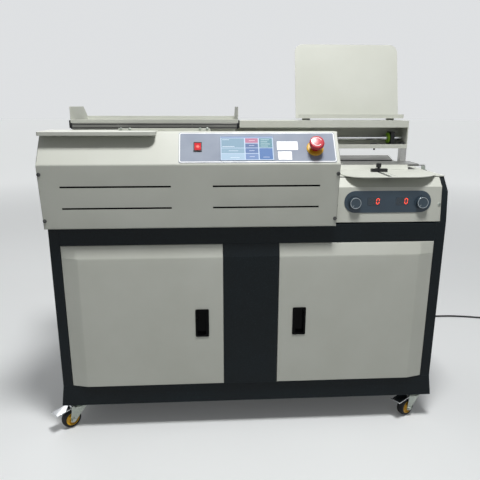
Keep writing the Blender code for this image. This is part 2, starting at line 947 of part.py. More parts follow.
# Front cover, control panel and its controls
def make_front_cover():
    outline = [(-cover_bottom_reach, cover_bottom), (cover_back, cover_bottom), (cover_back, cover_top),
               (slope_run - cover_top_reach, cover_top), (-cover_top_reach, cover_edge_height)]
    cover = extruded("front_cover", [outline], "YZ", -half_width, cover_right)
    room = inset(outline, sheet)
    room = [(y, z if z > rail_top + 2 * sheet else cover_bottom - overrun) for y, z in room]
    cut(cover, extruded("cover_room", [room], "YZ", sheet - half_width, cover_right - sheet))
    back_cut = slab("cover_back_cut", (-half_width - overrun, cover_right + overrun),
                    (sheet, cover_back + overrun), (cover_bottom - overrun, deck_top + clear))
    cut(cover, back_cut)
    face_height = cover_edge_height - cover_bottom
    left, right = -half_width + cover_vent_left, cover_right - cover_vent_right
    middle = (left + right) / 2
    for share in cover_vent_row_shares:
        z = cover_bottom + face_height * share
        for low, high in ((left, middle - cover_vent_gap / 2), (middle + cover_vent_gap / 2, right)):
            slot = slab("cover_vent", (low, high),
                        (-cover_top_reach - overrun, cover_vent_depth - cover_bottom_reach),
                        (z, z + cover_vent_height))
            cut(cover, slot)
    stop_hole = rod("cover_stop_hole", (stop_x, stop_v, -overrun), (stop_x, stop_v, overrun),
                    stop_neck_radius + clear)
    stop_hole.matrix_basis = slope_matrix() @ stop_hole.matrix_basis
    cut(cover, stop_hole)
    strip = extruded("cover_strip", [[(strip_left, cover_top - weld), (strip_right, cover_top - weld),
                                      (strip_right - strip_slant, cover_top + strip_height),
                                      (strip_left, cover_top + strip_height)]],
                     "XZ", cover_back - strip_thickness - weld, cover_back - weld)
    fuse(cover, strip)
    place(cover, light_grey)


def slope_matrix():
    """From the slope's own frame (x, distance up the slope, height over it) to the cabinet frame."""
    up = Vector((0, slope_run, slope_rise)).normalized()
    out = Vector((0, -slope_rise, slope_run)).normalized()
    frame = Matrix(((1, 0, 0), up, out)).transposed().to_4x4()
    frame.translation = Vector((0, -cover_top_reach, cover_edge_height))
    return frame


def on_slope(obj, finish):
    """Take an object built in the slope's frame to its place on the slope."""
    obj.matrix_basis = slope_matrix() @ obj.matrix_basis
    return place(obj, finish)


def make_control_panel():
    low = clear
    loops = [round_box((panel_left, panel_right), (panel_low, panel_high), panel_corner)]
    loops.append(box_outline((screen_left - clear, screen_right + clear),
                             (screen_low - clear, screen_high + clear)))
    loops.append(circle((stop_x, stop_v), stop_neck_radius + clear))
    panel = extruded("control_panel", loops, "XY", low, low + panel_thickness)
    on_slope(panel, label_blue)
    screen = slab("touch_screen", (screen_left, screen_right), (screen_low, screen_high),
                  (low, low + panel_thickness + screen_proud))
    on_slope(screen, screen_blue)
    top = low + panel_thickness + clear
    half_x, half_v = rocker_width / 2, rocker_height / 2
    hole_x, hole_v = half_x - rocker_rim, half_v - rocker_rim
    bezel_loops = [round_box((rocker_x - half_x, rocker_x + half_x), (rocker_v - half_v, rocker_v + half_v),
                             rocker_rim / 2, 3),
                   box_outline((rocker_x - hole_x, rocker_x + hole_x),
                               (rocker_v - hole_v, rocker_v + hole_v))]
    bezel = extruded("rocker_bezel", bezel_loops, "XY", top, top + rocker_bezel_proud)
    on_slope(bezel, black)
    bore = stop_neck_radius + clear
    collar_flat = collar_radius - collar_height
    collar = turned("stop_collar_ring", [(bore, collar_height), (collar_flat, collar_height),
                                         (collar_radius, 0), (bore, 0)], closed=True)
    collar.location = (stop_x, stop_v, top)
    on_slope(collar, signal_yellow)


def make_rocker():
    """A paddle tilted about an axis along X in the middle of its bezel."""
    top = 2 * clear + panel_thickness
    half_x = rocker_width / 2 - rocker_rim - clear
    half_v = rocker_height / 2 - rocker_rim - clear - rocker_tilt / 2
    high = rocker_bezel_proud + rocker_proud
    outline = [(-half_v, rocker_tilt), (half_v, rocker_tilt), (half_v, high - rocker_tilt),
               (0, high - rocker_tilt / 2), (-half_v, high)]
    paddle = extruded("power_rocker", [outline], "YZ", -half_x, half_x)
    origin_to(paddle, (0, 0, rocker_bezel_proud / 2 + rocker_tilt / 2))
    paddle.location += Vector((rocker_x, rocker_v, top))
    on_slope(paddle, signal_red)


def make_stop_head():
    """A mushroom head on a neck that goes through the collar."""
    top = 2 * clear + panel_thickness
    neck_top = stop_travel + stop_neck_height
    head_top = neck_top + stop_head_height
    edge = stop_head_radius - stop_head_round
    profile = [(0, head_top), (edge, head_top - stop_head_dome)]
    profile += arc((edge, head_top - stop_head_dome - stop_head_round), stop_head_round, 75, 0)
    profile += [(stop_head_radius, neck_top + stop_head_round / 2),
                (stop_head_radius - stop_head_round / 2, neck_top), (stop_neck_radius, neck_top),
                (stop_neck_radius, 0), (0, 0)]
    head = turned("stop_head", profile)
    head.location = (stop_x, stop_v, top)
    on_slope(head, signal_red)


def make_left_table():
    low = cover_top + clear
    left, right = left_table_left, left_table_right
    corner = left_table_corner
    outline = round_box((left, right), (left_table_front, left_table_back),
                        (left_table_small_corner, corner, 0, 0))
    plate = extruded("left_table", [outline], "XY", low, low + table_sheet)
    lip = extruded("left_table_lip", [outline], "XY", low - left_table_lip, low + weld)
    core = round_box((left + table_sheet, right - table_sheet),
                     (left_table_front + table_sheet, left_table_back + overrun),
                     (left_table_small_corner, corner - table_sheet, 0, 0))
    under = low - left_table_lip - overrun
    back = slab("left_table_lip_back", (left - overrun, right + overrun),
                (left_table_front + corner, left_table_back + overrun), (under, low))
    lip = settle(cut(lip, extruded("left_table_core", [core], "XY", under, low), back))
    fuse(plate, lip)
    notch = slab("left_table_notch", (strip_left - table_sheet, right + overrun),
                 (cover_back - strip_thickness - strip_room, left_table_back + overrun),
                 (low - overrun, low + overrun))
    cut(plate, notch)
    place(plate, light_grey)


# Right console
def console_matrix():
    """From the console face's frame (x, up the face, out of it) to the cabinet frame."""
    up = Vector((0, console_lean, console_bend - console_bottom)).normalized()
    out = Vector((0, -up.z, up.y))
    frame = Matrix(((1, 0, 0), up, out)).transposed().to_4x4()
    drop = (plate_middle_z - console_bottom) / (console_bend - console_bottom)
    frame.translation = Vector((plate_middle_x, console_front + drop * console_lean, plate_middle_z))
    return frame


def on_console(obj, finish):
    obj.matrix_basis = console_matrix() @ obj.matrix_basis
    return place(obj, finish)


def make_console():
    left = cover_right + console_left_gap
    right = half_width - upper_stile_width - clear
    bend = (console_front + console_lean, console_bend)
    top = (bend[0] + console_top_depth, bend[1] + console_top_depth)
    outline = [(console_front, console_bottom), bend, top]
    inner = [(top[0] + sheet, top[1] - sheet), (bend[0] + sheet, bend[1] - console_bend_sheet),
             (console_front + sheet, console_bottom + sheet),
             (console_front + console_depth, console_bottom + sheet),
             (console_front + console_depth, console_bottom)]
    cover = extruded("console_cover", [outline + inner], "YZ", left, right)
    place(cover, light_grey)
    plate = extruded("console_plate", [round_box((-plate_width / 2, plate_width / 2),
                                                 (-plate_height / 2, plate_height / 2),
                                                 plate_height / 2 - near_zero, 10)],
                     "XY", clear, clear + plate_thickness)
    on_console(plate, slate_blue)
    top_face = 2 * clear + plate_thickness
    for name, x in (("left_display", -display_x), ("right_display", display_x)):
        glass = slab(name, (x - display_width / 2, x + display_width / 2),
                     (display_lift - display_height / 2, display_lift + display_height / 2),
                     (top_face, top_face + display_proud))
        on_console(glass, black)


def make_knob(name, side):
    """A turning knob with a rounded front edge and a shallow ring groove on its face."""
    top = 2 * clear + plate_thickness
    edge = knob_radius - knob_round
    ring = knob_radius * knob_ring_share
    profile = [(0, knob_depth - knob_groove), (ring, knob_depth - knob_groove), (ring, knob_depth),
               (edge, knob_depth)]
    profile += arc((edge, knob_depth - knob_round), knob_round, 60, 0, 2)
    profile += [(knob_radius, 0), (0, 0)]
    knob = turned(name, profile, knob_segments)
    knob.location = (side * knob_x, -knob_drop, top)
    on_console(knob, slate_blue)


# Cover table and side guide
def make_cover_table():
    low = deck_top + clear
    outline = round_box((cover_table_left, cover_table_right), (cover_table_front, cover_table_back),
                        (cover_table_left_corner, cover_table_right_corner, 0, 0), 12)
    slot = round_box((slot_x - slot_width / 2, slot_x + slot_width / 2), (slot_front, slot_back),
                     slot_width / 2 - near_zero, 4)
    table = extruded("cover_table", [outline, slot], "XY", low, low + cover_table_sheet)
    place(table, light_grey)


def make_side_guide():
    """A guide bar on the table, with a key that runs in the slot, and a thumb screw."""
    low = deck_top + 2 * clear + cover_table_sheet
    half_depth = guide_width / 2
    bar = slab("side_guide", (guide_x - guide_length / 2, guide_x + guide_length / 2),
               (guide_y - half_depth, guide_y + half_depth + screw_y_offset), (low, low + guide_height))
    step = slab("guide_step", (guide_x - guide_length / 2 - overrun, guide_x - thumb_radius),
                (guide_y + half_depth, guide_y + half_depth + 2 * screw_y_offset),
                (low - overrun, low + guide_height + overrun))
    other = slab("guide_step_right", (guide_x + thumb_radius, guide_x + guide_length / 2 + overrun),
                 (guide_y + half_depth, guide_y + half_depth + 2 * screw_y_offset),
                 (low - overrun, low + guide_height + overrun))
    key = slab("guide_key", (slot_x - slot_width / 2 + clear, slot_x + slot_width / 2 - clear),
               (guide_y - half_depth / 2, guide_y + half_depth), (low - guide_key_depth, low + weld))
    cut(bar, step, other)
    fuse(bar, key)
    screw_y = guide_y + screw_y_offset / 2
    hole = rod("guide_screw_hole", (guide_x, screw_y, low + weld),
               (guide_x, screw_y, low + guide_height + overrun), thumb_stem_radius + clear, small_segments)
    cut(bar, hole)
    place(bar, black)
    base = low + guide_height
    lobes = []
    count = thumb_ribs * 3
    for i in range(count):
        angle = 2 * math.pi * i / count
        radius = thumb_radius * (1 - thumb_rib_share * (1 - math.cos(thumb_ribs * angle)) / 2)
        lobes.append((guide_x + radius * math.cos(angle), screw_y + radius * math.sin(angle)))
    head = extruded("guide_screw", [lobes], "XY", base + clear + thumb_stem_height / 2,
                    base + clear + thumb_stem_height / 2 + thumb_height)
    stem = rod("guide_screw_stem", (guide_x, screw_y, base - thumb_stem_height),
               (guide_x, screw_y, base + thumb_stem_height), thumb_stem_radius, small_segments)
    fuse(head, stem)
    origin_to(head, (guide_x, screw_y, base))
    place(head, black)


# Nip
def make_nip():
    low = nip_plate_top - nip_plate_thickness
    front = slab("nip_front_jaw", (nip_left, nip_front_right),
                 (nip_gap_front - nip_front_depth, nip_gap_front), (low, nip_plate_top))
    foot_back = nip_gap_front - clear
    foot = slab("nip_front_foot", (nip_left + nip_foot_inset, nip_front_right - nip_foot_inset),
                (foot_back - nip_foot_depth, foot_back), (deck_top + clear, low + weld))
    fuse(front, foot)
    place(front, steel)
    height = nip_rear_height - deck_top - clear
    outline = [(nip_left, deck_top + clear), (nip_rear_right, deck_top + clear),
               (nip_rear_right, deck_top + clear + height - nip_rear_slant),
               (nip_rear_right - nip_rear_slant, nip_rear_height), (nip_left, nip_rear_height)]
    rear = extruded("nip_rear_jaw", [outline], "XZ", nip_gap_back, nip_gap_back + nip_rear_thickness)
    flange = slab("nip_rear_flange", (nip_left + weld, nip_rear_right - weld),
                  (nip_gap_back + nip_rear_thickness - weld, nip_gap_back + nip_rear_foot),
                  (deck_top + clear + near_zero, deck_top + clear + nip_plate_thickness / 2))
    fuse(rear, flange)
    place(rear, steel)


# Carriage beam, shaft and stop
def make_beam():
    reach = half_width - beam_side_gap
    beam = slab("carriage_beam", (-reach, reach), (beam_front, beam_back), (beam_bottom, beam_top))
    inner = reach - beam_wall
    room = [(beam_front + beam_wall, beam_bottom + beam_wall),
            (beam_back - beam_wall - beam_step_depth, beam_bottom + beam_wall),
            (beam_back - beam_wall - beam_step_depth, beam_step_top),
            (beam_back - beam_wall, beam_step_top), (beam_back - beam_wall, beam_top - beam_wall),
            (beam_front + beam_wall, beam_top - beam_wall)]
    hollow = extruded("beam_room", [room], "YZ", -inner, inner)
    mouth = slab("beam_mouth", (-inner, inner), (beam_front - overrun, beam_front + beam_wall + weld),
                 (beam_bottom + beam_low_lip, beam_top - beam_high_lip))
    cut(beam, hollow, mouth)
    leg = slab("beam_leg", (-reach, -reach + post_width),
               (beam_front + post_set_back, beam_front + post_set_back + post_depth),
               (post_bottom, beam_bottom + weld))
    fuse(beam, leg)
    for x in (rest_lug_left, rest_lug_right):
        for side in (-1, 1):
            near = x + side * (rest_lug_width / 2 + clear)
            far = near + side * rest_knuckle_width
            knuckle = rod("rest_knuckle", (near, rest_hinge_y, rest_hinge_z),
                          (far, rest_hinge_y, rest_hinge_z), rest_barrel_radius, small_segments)
            foot = slab("rest_foot", (min(near, far), max(near, far)),
                        (rest_hinge_y - rest_barrel_radius, rest_hinge_y + rest_barrel_radius),
                        (beam_top - weld, rest_hinge_z - rest_pin_radius))
            bore = rod("rest_bore", (near - side * weld, rest_hinge_y, rest_hinge_z),
                       (far + side * weld, rest_hinge_y, rest_hinge_z), rest_pin_radius + clear,
                       small_segments)
            fuse(beam, foot, knuckle)
            cut(beam, bore)
    place(beam, light_grey)
    right = half_width - post_inset
    wall = carriage_sheet
    y = (beam_front + post_set_back, beam_front + post_set_back + post_depth)
    post_outline = [(right - post_width, y[0]), (right, y[0]), (right, y[1]), (right - wall, y[1]),
                    (right - wall, y[0] + wall), (right - post_width + wall, y[0] + wall),
                    (right - post_width + wall, y[1]), (right - post_width, y[1])]
    post = extruded("right_post", [post_outline], "XY", post_bottom, beam_bottom - clear)
    place(post, steel)
    shaft_end = inner - clear
    shaft = rod("guide_shaft", (-shaft_end, shaft_y, shaft_z), (shaft_end, shaft_y, shaft_z),
                shaft_radius)
    place(shaft, chrome)
    bore = shaft_radius + bore_clearance
    stop_low = beam_bottom + beam_wall + clear
    stop = slab("travel_stop", (stop_right - stop_length, stop_right),
                (shaft_y - stop_block_depth / 2, shaft_y + stop_block_depth / 2), (stop_low, stop_block_top))
    cut(stop, rod("stop_bore", (stop_right - stop_length - overrun, shaft_y, shaft_z),
                  (stop_right + overrun, shaft_y, shaft_z), bore))
    place(stop, black)
    ring_right = stop_right - stop_length - clear
    ring = turned("buffer_ring", [(bore, 0), (buffer_radius, 0), (buffer_radius, -buffer_length),
                                  (bore, -buffer_length)], closed=True)
    ring.matrix_basis = turn_to((1, 0, 0))
    ring.location = (ring_right, shaft_y, shaft_z)
    place(ring, lime)


# Book carriage
def make_carriage():
    end_outline = [(carriage_front, carriage_floor), (carriage_back, carriage_floor),
                   (carriage_back, carriage_wall_top), (end_plate_flat, end_plate_top),
                   (carriage_front, end_plate_top)]
    tray = extruded("carriage_tray", [end_outline], "YZ", carriage_left, carriage_left + carriage_sheet)
    right_end = extruded("carriage_right_end", [end_outline], "YZ",
                         carriage_right - carriage_sheet, carriage_right)
    wall = slab("carriage_rear_wall", (carriage_left, carriage_right),
                (carriage_back - carriage_sheet, carriage_back), (carriage_wall_bottom, carriage_wall_top))
    shelf = slab("carriage_shelf", (carriage_left, carriage_right),
                 (rear_jaw_face, carriage_back), (carriage_floor, carriage_floor + carriage_sheet))
    jaw = slab("carriage_rear_jaw", (jaw_left, jaw_right), (rear_jaw_face, rear_jaw_face + jaw_thickness),
               (jaw_bottom, carriage_floor + carriage_sheet))
    cap = slab("carriage_cap", (carriage_left, carriage_right),
               (carriage_front, carriage_front + rail_depth),
               (carriage_floor, carriage_floor + carriage_sheet))
    lip = slab("carriage_lip", (carriage_left, carriage_right),
               (carriage_front, carriage_front + carriage_sheet), (carriage_floor, carriage_lip_top))
    fuse(tray, right_end, wall, shelf, jaw, cap, lip)
    place(tray, light_grey)
    rail_top_z = carriage_floor - clear
    rail = slab("carriage_rail", (carriage_left + carriage_sheet, carriage_right - carriage_sheet),
                (carriage_front, carriage_front + rail_depth), (rail_top_z - rail_height, rail_top_z))
    rod_z = rail_top_z - rail_height / 2
    jaw_front = rear_jaw_face - front_jaw_gap - jaw_thickness
    jaw_plate = slab("front_clamp_jaw", (jaw_left, jaw_right), (jaw_front, jaw_front + jaw_thickness),
                     (jaw_bottom, front_jaw_top))
    for x in (jaw_left + guide_rod_inset, jaw_right - guide_rod_inset):
        cut(rail, rod("rail_hole", (x, carriage_front - overrun, rod_z),
                      (x, carriage_front + rail_depth + overrun, rod_z), guide_rod_radius + bore_clearance,
                      small_segments))
        fuse(jaw_plate, rod("jaw_rod", (x, carriage_front + guide_rod_end_gap, rod_z),
                            (x, jaw_front + weld, rod_z), guide_rod_radius, small_segments))
    place(rail, dark_grey)
    place(jaw_plate, steel)
    bushing = slab("carriage_bushing", (bushing_left, bushing_right), (carriage_back + clear, bushing_back),
                   (bushing_bottom, bushing_top))
    cut(bushing, rod("bushing_bore", (bushing_left - overrun, shaft_y, shaft_z),
                     (bushing_right + overrun, shaft_y, shaft_z), shaft_radius + bore_clearance))
    place(bushing, steel)


# Spine cutter and glue tank
def make_cutter():
    motor_top = deck_bottom - clear
    motor = rod("cutter_motor", (cutter_x, cutter_y, motor_top - motor_flange_height - motor_length),
                (cutter_x, cutter_y, motor_top - motor_flange_height + weld), motor_radius)
    points = []
    for i in range(motor_fins * 4):
        angle = 2 * math.pi * (i + 0.5) / (motor_fins * 4)
        radius = motor_radius + (motor_fin_depth if i % 4 < 2 else 0)
        points.append((cutter_x + radius * math.cos(angle), cutter_y + radius * math.sin(angle)))
    ribs_low = motor_top - motor_flange_height - motor_length * motor_fin_low_share
    ribs = extruded("motor_ribs", [points], "XY", ribs_low,
                    ribs_low + motor_length * motor_fin_length_share)
    flange = rod("motor_flange", (cutter_x, cutter_y, motor_top - motor_flange_height),
                 (cutter_x, cutter_y, motor_top), motor_flange_radius)
    fuse(motor, ribs, flange)
    cut(motor, rod("motor_bore", (cutter_x, cutter_y, motor_top - spindle_reach - weld),
                   (cutter_x, cutter_y, motor_top + overrun), spindle_radius + bore_clearance,
                   small_segments))
    place(motor, zinc)
    outline = []
    step = 2 * math.pi / cutter_teeth
    for i in range(cutter_teeth):
        for share, radius in ((0, cutter_radius), (cutter_land_share, cutter_radius),
                              (cutter_gullet_share, cutter_radius - cutter_tooth),
                              (cutter_rise_share, cutter_radius - cutter_tooth)):
            angle = (i + share) * step
            outline.append((cutter_x + radius * math.cos(angle), cutter_y + radius * math.sin(angle)))
    disc = extruded("milling_cutter", [outline], "XY", cutter_top - cutter_disc, cutter_top)
    hub = rod("cutter_hub", (cutter_x, cutter_y, motor_top + clear), (cutter_x, cutter_y, cutter_top - weld),
              cutter_hub_radius)
    spindle = rod("cutter_spindle", (cutter_x, cutter_y, motor_top - spindle_reach),
                  (cutter_x, cutter_y, cutter_top - 2 * weld), spindle_radius, small_segments)
    fuse(disc, hub, spindle)
    origin_to(disc, (cutter_x, cutter_y, cutter_top - cutter_disc))
    place(disc, steel)


def make_glue_tank():
    rim_low = deck_top + clear
    half_x, half_y = tank_length / 2, tank_width / 2
    tank = slab("glue_tank", (tank_x - half_x - tank_rim, tank_x + half_x + tank_rim),
                (tank_y - half_y - tank_rim, tank_y + half_y + tank_rim),
                (rim_low, rim_low + tank_rim_thickness))
    body = slab("tank_body", (tank_x - half_x, tank_x + half_x), (tank_y - half_y, tank_y + half_y),
                (rim_low - tank_depth, rim_low + weld))
    room = slab("tank_room", (tank_x - half_x + tank_wall, tank_x + half_x - tank_wall),
                (tank_y - half_y + tank_wall, tank_y + half_y - tank_wall),
                (rim_low - tank_depth + tank_wall, rim_low + overrun))
    fuse(tank, body)
    axle_z = roller_top - roller_radius
    notch = slab("tank_notch", (tank_x - tank_notch, tank_x + tank_notch),
                 (tank_y - half_y + weld, tank_y + half_y - weld),
                 (axle_z - tank_notch, axle_z + overrun))
    cut(tank, room, notch)
    place(tank, zinc)
    shaft_half = half_y - weld - clear
    roller = rod("glue_roller", (tank_x, tank_y - roller_length / 2, axle_z),
                 (tank_x, tank_y + roller_length / 2, axle_z), roller_radius)
    shaft = rod("roller_shaft", (tank_x, tank_y - shaft_half, axle_z), (tank_x, tank_y + shaft_half, axle_z),
                roller_shaft_radius, small_segments)
    fuse(roller, shaft)
    place(roller, steel)


# Inside the cabinet
def make_inside():
    low = plinth_top + clear
    chip_bin = slab("chip_bin", (bin_left, bin_right), (bin_front, bin_back), (low, low + bin_height))
    room = slab("bin_room", (bin_left + bin_wall, bin_right - bin_wall),
                (bin_front + bin_wall, bin_back - bin_wall), (low + bin_wall, low + bin_height + overrun))
    for obj in (chip_bin, room):
        for vertex in obj.data.vertices:
            if vertex.co.z < 0:
                vertex.co.x -= math.copysign(bin_taper, vertex.co.x)
                vertex.co.y -= math.copysign(bin_taper, vertex.co.y)
    cut(chip_bin, room)
    place(chip_bin, zinc)
    back = cabinet_depth - sheet - clear
    box = slab("electrics_box", (electrics_left, electrics_right), (back - electrics_depth, back),
               (low, low + electrics_height))
    wall = electrics_wall
    hollow = slab("electrics_room", (electrics_left + wall, electrics_right - wall),
                  (back - electrics_depth + wall, back - wall), (low + wall, low + electrics_height - wall))
    hole_x = electrics_right - electrics_hole_inset
    hole_y = back - electrics_hole_inset
    hole = rod("electrics_hole", (hole_x, hole_y, low + electrics_height - overrun),
               (hole_x, hole_y, low + electrics_height + overrun), electrics_hole_radius, small_segments)
    cut(box, hollow, hole)
    place(box, zinc)


# Document rest
def make_document_rest():
    """A leaning plate with a folded ledge, on two barrels that lie on the hinge axis."""
    up = Vector((0, math.sin(rest_lean), math.cos(rest_lean)))
    back = Vector((0, math.cos(rest_lean), -math.sin(rest_lean)))
    frame = Matrix(((1, 0, 0), up, back)).transposed()
    outline = round_box((rest_left, rest_right), (0, rest_length), (0, 0, rest_corner, rest_corner))
    plate = extruded("document_rest", [outline], "XY", 0, rest_sheet)
    turn = frame.to_4x4()
    foot_y = rest_hinge_y - rest_sheet / 2
    turn.translation = Vector((0, foot_y, rest_ledge_bottom))
    plate.matrix_basis = turn @ plate.matrix_basis
    ledge = slab("rest_ledge", (rest_ledge_left, rest_ledge_right),
                 (rest_ledge_front, foot_y + rest_sheet),
                 (rest_ledge_bottom, rest_ledge_bottom + rest_sheet))
    lip = slab("rest_lip", (rest_ledge_left, rest_ledge_right),
               (rest_ledge_front, rest_ledge_front + rest_sheet),
               (rest_ledge_bottom, rest_ledge_bottom + rest_lip))
    fuse(plate, ledge, lip)
    for x in (rest_lug_left, rest_lug_right):
        half = rest_lug_width / 2
        reach = half + clear + rest_knuckle_width
        tab = slab("rest_tab", (x - half, x + half),
                   (rest_hinge_y - rest_tab_thickness / 2, rest_hinge_y + rest_tab_thickness / 2),
                   (rest_hinge_z, rest_ledge_bottom + weld))
        barrel = rod("rest_barrel", (x - half, rest_hinge_y, rest_hinge_z),
                     (x + half, rest_hinge_y, rest_hinge_z), rest_barrel_radius, small_segments)
        pin = rod("rest_pin", (x - reach, rest_hinge_y, rest_hinge_z),
                  (x + reach, rest_hinge_y, rest_hinge_z), rest_pin_radius, small_segments)
        fuse(plate, tab, barrel, pin)
    origin_to(plate, (0, rest_hinge_y, rest_hinge_z))
    place(plate, light_grey)


# Casters
def make_fork(name):
    """King pin, ball-race bowl, crown, two legs that taper to the axle, and the axle with its nuts."""
    bowl_top = caster_race_bottom - clear
    crown_top = crown_low + caster_crown_thickness
    pin_top = plinth_bottom - clear
    fork = turned(name, [(0, pin_top), (caster_pin_radius, pin_top), (caster_pin_radius, bowl_top),
                         (caster_bowl_radius, bowl_top), (caster_bowl_radius, crown_top),
                         (caster_crown_radius, crown_top), (caster_crown_radius, crown_low), (0, crown_low)],
                  round_segments)
    end = caster_leg_end_radius
    centre = (caster_trail, wheel_radius)
    leg = [(-caster_leg_back, crown_top - weld), (-caster_leg_back, crown_low - weld)]
    leg += arc(centre, end, 215, 350)
    shoulder = pedal_pivot_height + pedal_barrel_radius
    leg += [(caster_leg_front, crown_low - weld), (caster_leg_front, shoulder),
            (caster_leg_front - caster_shoulder_flat, shoulder),
            (caster_leg_front - caster_shoulder_run, crown_top - weld)]
    for side in (-1, 1):
        y = sorted((side * caster_leg_gap, side * (caster_leg_gap + caster_leg_thickness)))
        fuse(fork, extruded(name + "_leg", [leg], "XZ", y[0], y[1]))
    reach = caster_leg_gap + caster_leg_thickness
    axle = rod(name + "_axle", (caster_trail, -reach - weld, wheel_radius),
               (caster_trail, reach + weld, wheel_radius), axle_radius, small_segments)
    fuse(fork, axle)
    for side in (-1, 1):
        nut = rod(name + "_nut", (caster_trail, side * (reach - weld), wheel_radius),
                  (caster_trail, side * (reach + axle_nut_height), wheel_radius), axle_nut_radius, 6)
        fuse(fork, nut)
    return fork


def make_wheel(name):
    """Tyre with a crowned tread on a stepped hub with a bore, turned about its own axis."""
    half = wheel_width / 2
    hub = wheel_hub_width / 2
    bore = axle_radius + bore_clearance
    profile = [(bore, hub), (wheel_hub_radius, hub), (wheel_hub_radius, half - wheel_rim_step),
               (wheel_rim_radius, half - wheel_rim_step), (wheel_rim_radius, half),
               (wheel_radius - wheel_crown, half), (wheel_radius, half / 2)]
    profile += [(r, -h) for r, h in reversed(profile)]
    wheel = turned(name, profile, wheel_segments, closed=True)
    return wheel


def make_pedal(name):
    """A pressed pedal on a barrel between the fork's legs."""
    half = caster_leg_gap - clear
    x0, z0 = pedal_pivot_trail, pedal_pivot_height
    barrel = rod(name, (x0, -half, z0), (x0, half, z0), pedal_barrel_radius, small_segments)
    tip_x = x0 + pedal_length
    tip_z = z0 - pedal_drop
    thin = pedal_thickness / 2
    side = [(x0, z0 + thin), (x0, z0 - thin),
            (tip_x - pedal_tip, tip_z - thin), (tip_x, tip_z + pedal_tip - pedal_thickness),
            (tip_x - thin, tip_z + pedal_tip), (tip_x - pedal_tip, tip_z + thin)]
    neck = extruded(name + "_neck", [side], "XZ", -half + weld, half - weld)
    fuse(barrel, neck)
    start = caster_leg_front + pedal_thickness
    share = (start - x0) / (tip_x - pedal_tip - x0)
    start_z = z0 - share * pedal_drop
    wide = [(start, start_z + thin), (start, start_z - thin)] + side[2:]
    fuse(barrel, extruded(name + "_plate", [wide], "XZ", -pedal_width / 2, pedal_width / 2))
    return barrel


def make_casters():
    for place_name, (x, y) in caster_places.items():
        turn = caster_turns[place_name]
        spot = Matrix.Translation((x, y, 0)) @ Matrix.Rotation(turn, 4, "Z")
        fork = settle(make_fork(place_name + "_fork"))
        fork.matrix_basis = spot
        place(fork, zinc)
        wheel = settle(make_wheel(place_name + "_wheel"))
        wheel.matrix_basis = spot @ Matrix.Translation((caster_trail, 0, wheel_radius)) @ turn_to((0, 1, 0))
        place(wheel, tyre_black)
        if place_name.startswith("front"):
            pedal = settle(make_pedal(place_name + "_pedal"))
            pedal.data.transform(Matrix.Translation((-pedal_pivot_trail, 0, -pedal_pivot_height)))
            pedal.matrix_basis = spot @ Matrix.Translation((pedal_pivot_trail, 0, pedal_pivot_height))
            place(pedal, chrome)


# Power cord
def make_gland():
    face = cabinet_depth + clear
    sleeve = gland_radius - gland_flange
    profile = [(0, gland_length), (gland_tip_radius, gland_length), (sleeve, gland_sleeve),
               (sleeve, gland_flange), (gland_radius, gland_flange), (gland_radius, 0), (0, 0)]
    gland = turned("cord_gland", profile)
    gland.matrix_basis = turn_to((0, 1, 0))
    gland.location = (gland_x, face, gland_z)
    place(gland, black)


def smooth_route(route, spacing):
    """Points read at an even spacing from a Catmull-Rom curve through the route's own points."""
    route = np.array(route)
    ends = np.vstack([2 * route[0] - route[1], route, 2 * route[-1] - route[-2]])
    fine = []
    t = np.linspace(0, 1, 40, endpoint=False)[:, None]
    for i in range(len(route) - 1):
        a, b, c, d = ends[i:i + 4]
        fine.append(0.5 * (2 * b + (c - a) * t + (2 * a - 5 * b + 4 * c - d) * t ** 2
                           + (3 * b - a - 3 * c + d) * t ** 3))
    fine = np.vstack(fine + [route[-1:]])
    run = np.concatenate([[0], np.cumsum(np.linalg.norm(np.diff(fine, axis=0), axis=1))])
    even = np.linspace(0, run[-1], round(run[-1] / spacing) + 1)
    return np.stack([np.interp(even, run, fine[:, k]) for k in range(3)], axis=1), run[-1]


def tube(name, points, radius, resolution, finish):
    curve = bpy.data.curves.new(name, "CURVE")
    curve.dimensions = "3D"
    curve.bevel_depth = radius
    curve.bevel_resolution = resolution
    curve.use_fill_caps = True
    spline = curve.splines.new("POLY")
    spline.points.add(len(points) - 1)
    for point, (x, y, z) in zip(spline.points, points):
        point.co = (x, y, z, 1)
    return place(bpy.data.objects.new(name, curve), finish)


def coil_points():
    """The coil's line: it spirals in on the floor, climbs in half a turn and spirals out on top."""
    total = 2 * coil_turns_in_layer + 0.5
    count = round(total * coil_points_a_turn) + 1
    turn = np.linspace(0, total, count)
    climb = np.clip((turn - coil_turns_in_layer) / 0.5, 0, 1)
    climb = climb * climb * (3 - 2 * climb)
    middle = total / 2
    radius = coil_outer - coil_pitch * (middle - np.abs(turn - middle))
    angle = coil_start_angle - 2 * np.pi * turn
    points = np.stack([coil_centre_x + radius * np.cos(angle), coil_centre_y + radius * np.sin(angle),
                       cord_floor + coil_rise * climb], axis=1)
    lead_in = points[0] + (points[0] - points[1]) / np.linalg.norm(points[0] - points[1]) * coil_lead
    lead_out = points[-1] + (points[-1] - points[-2]) / np.linalg.norm(points[-1] - points[-2]) * coil_lead
    return np.vstack([lead_in, points, lead_out])


def least_gap(points, diameter):
    """The least distance between the tube's own surfaces, away from each point's neighbours."""
    run = np.concatenate([[0], np.cumsum(np.linalg.norm(np.diff(points, axis=0), axis=1))])
    apart = np.abs(run[:, None] - run[None, :])
    distance = np.linalg.norm(points[:, None, :] - points[None, :, :], axis=2)
    return distance[apart > 4 * diameter].min() - diameter


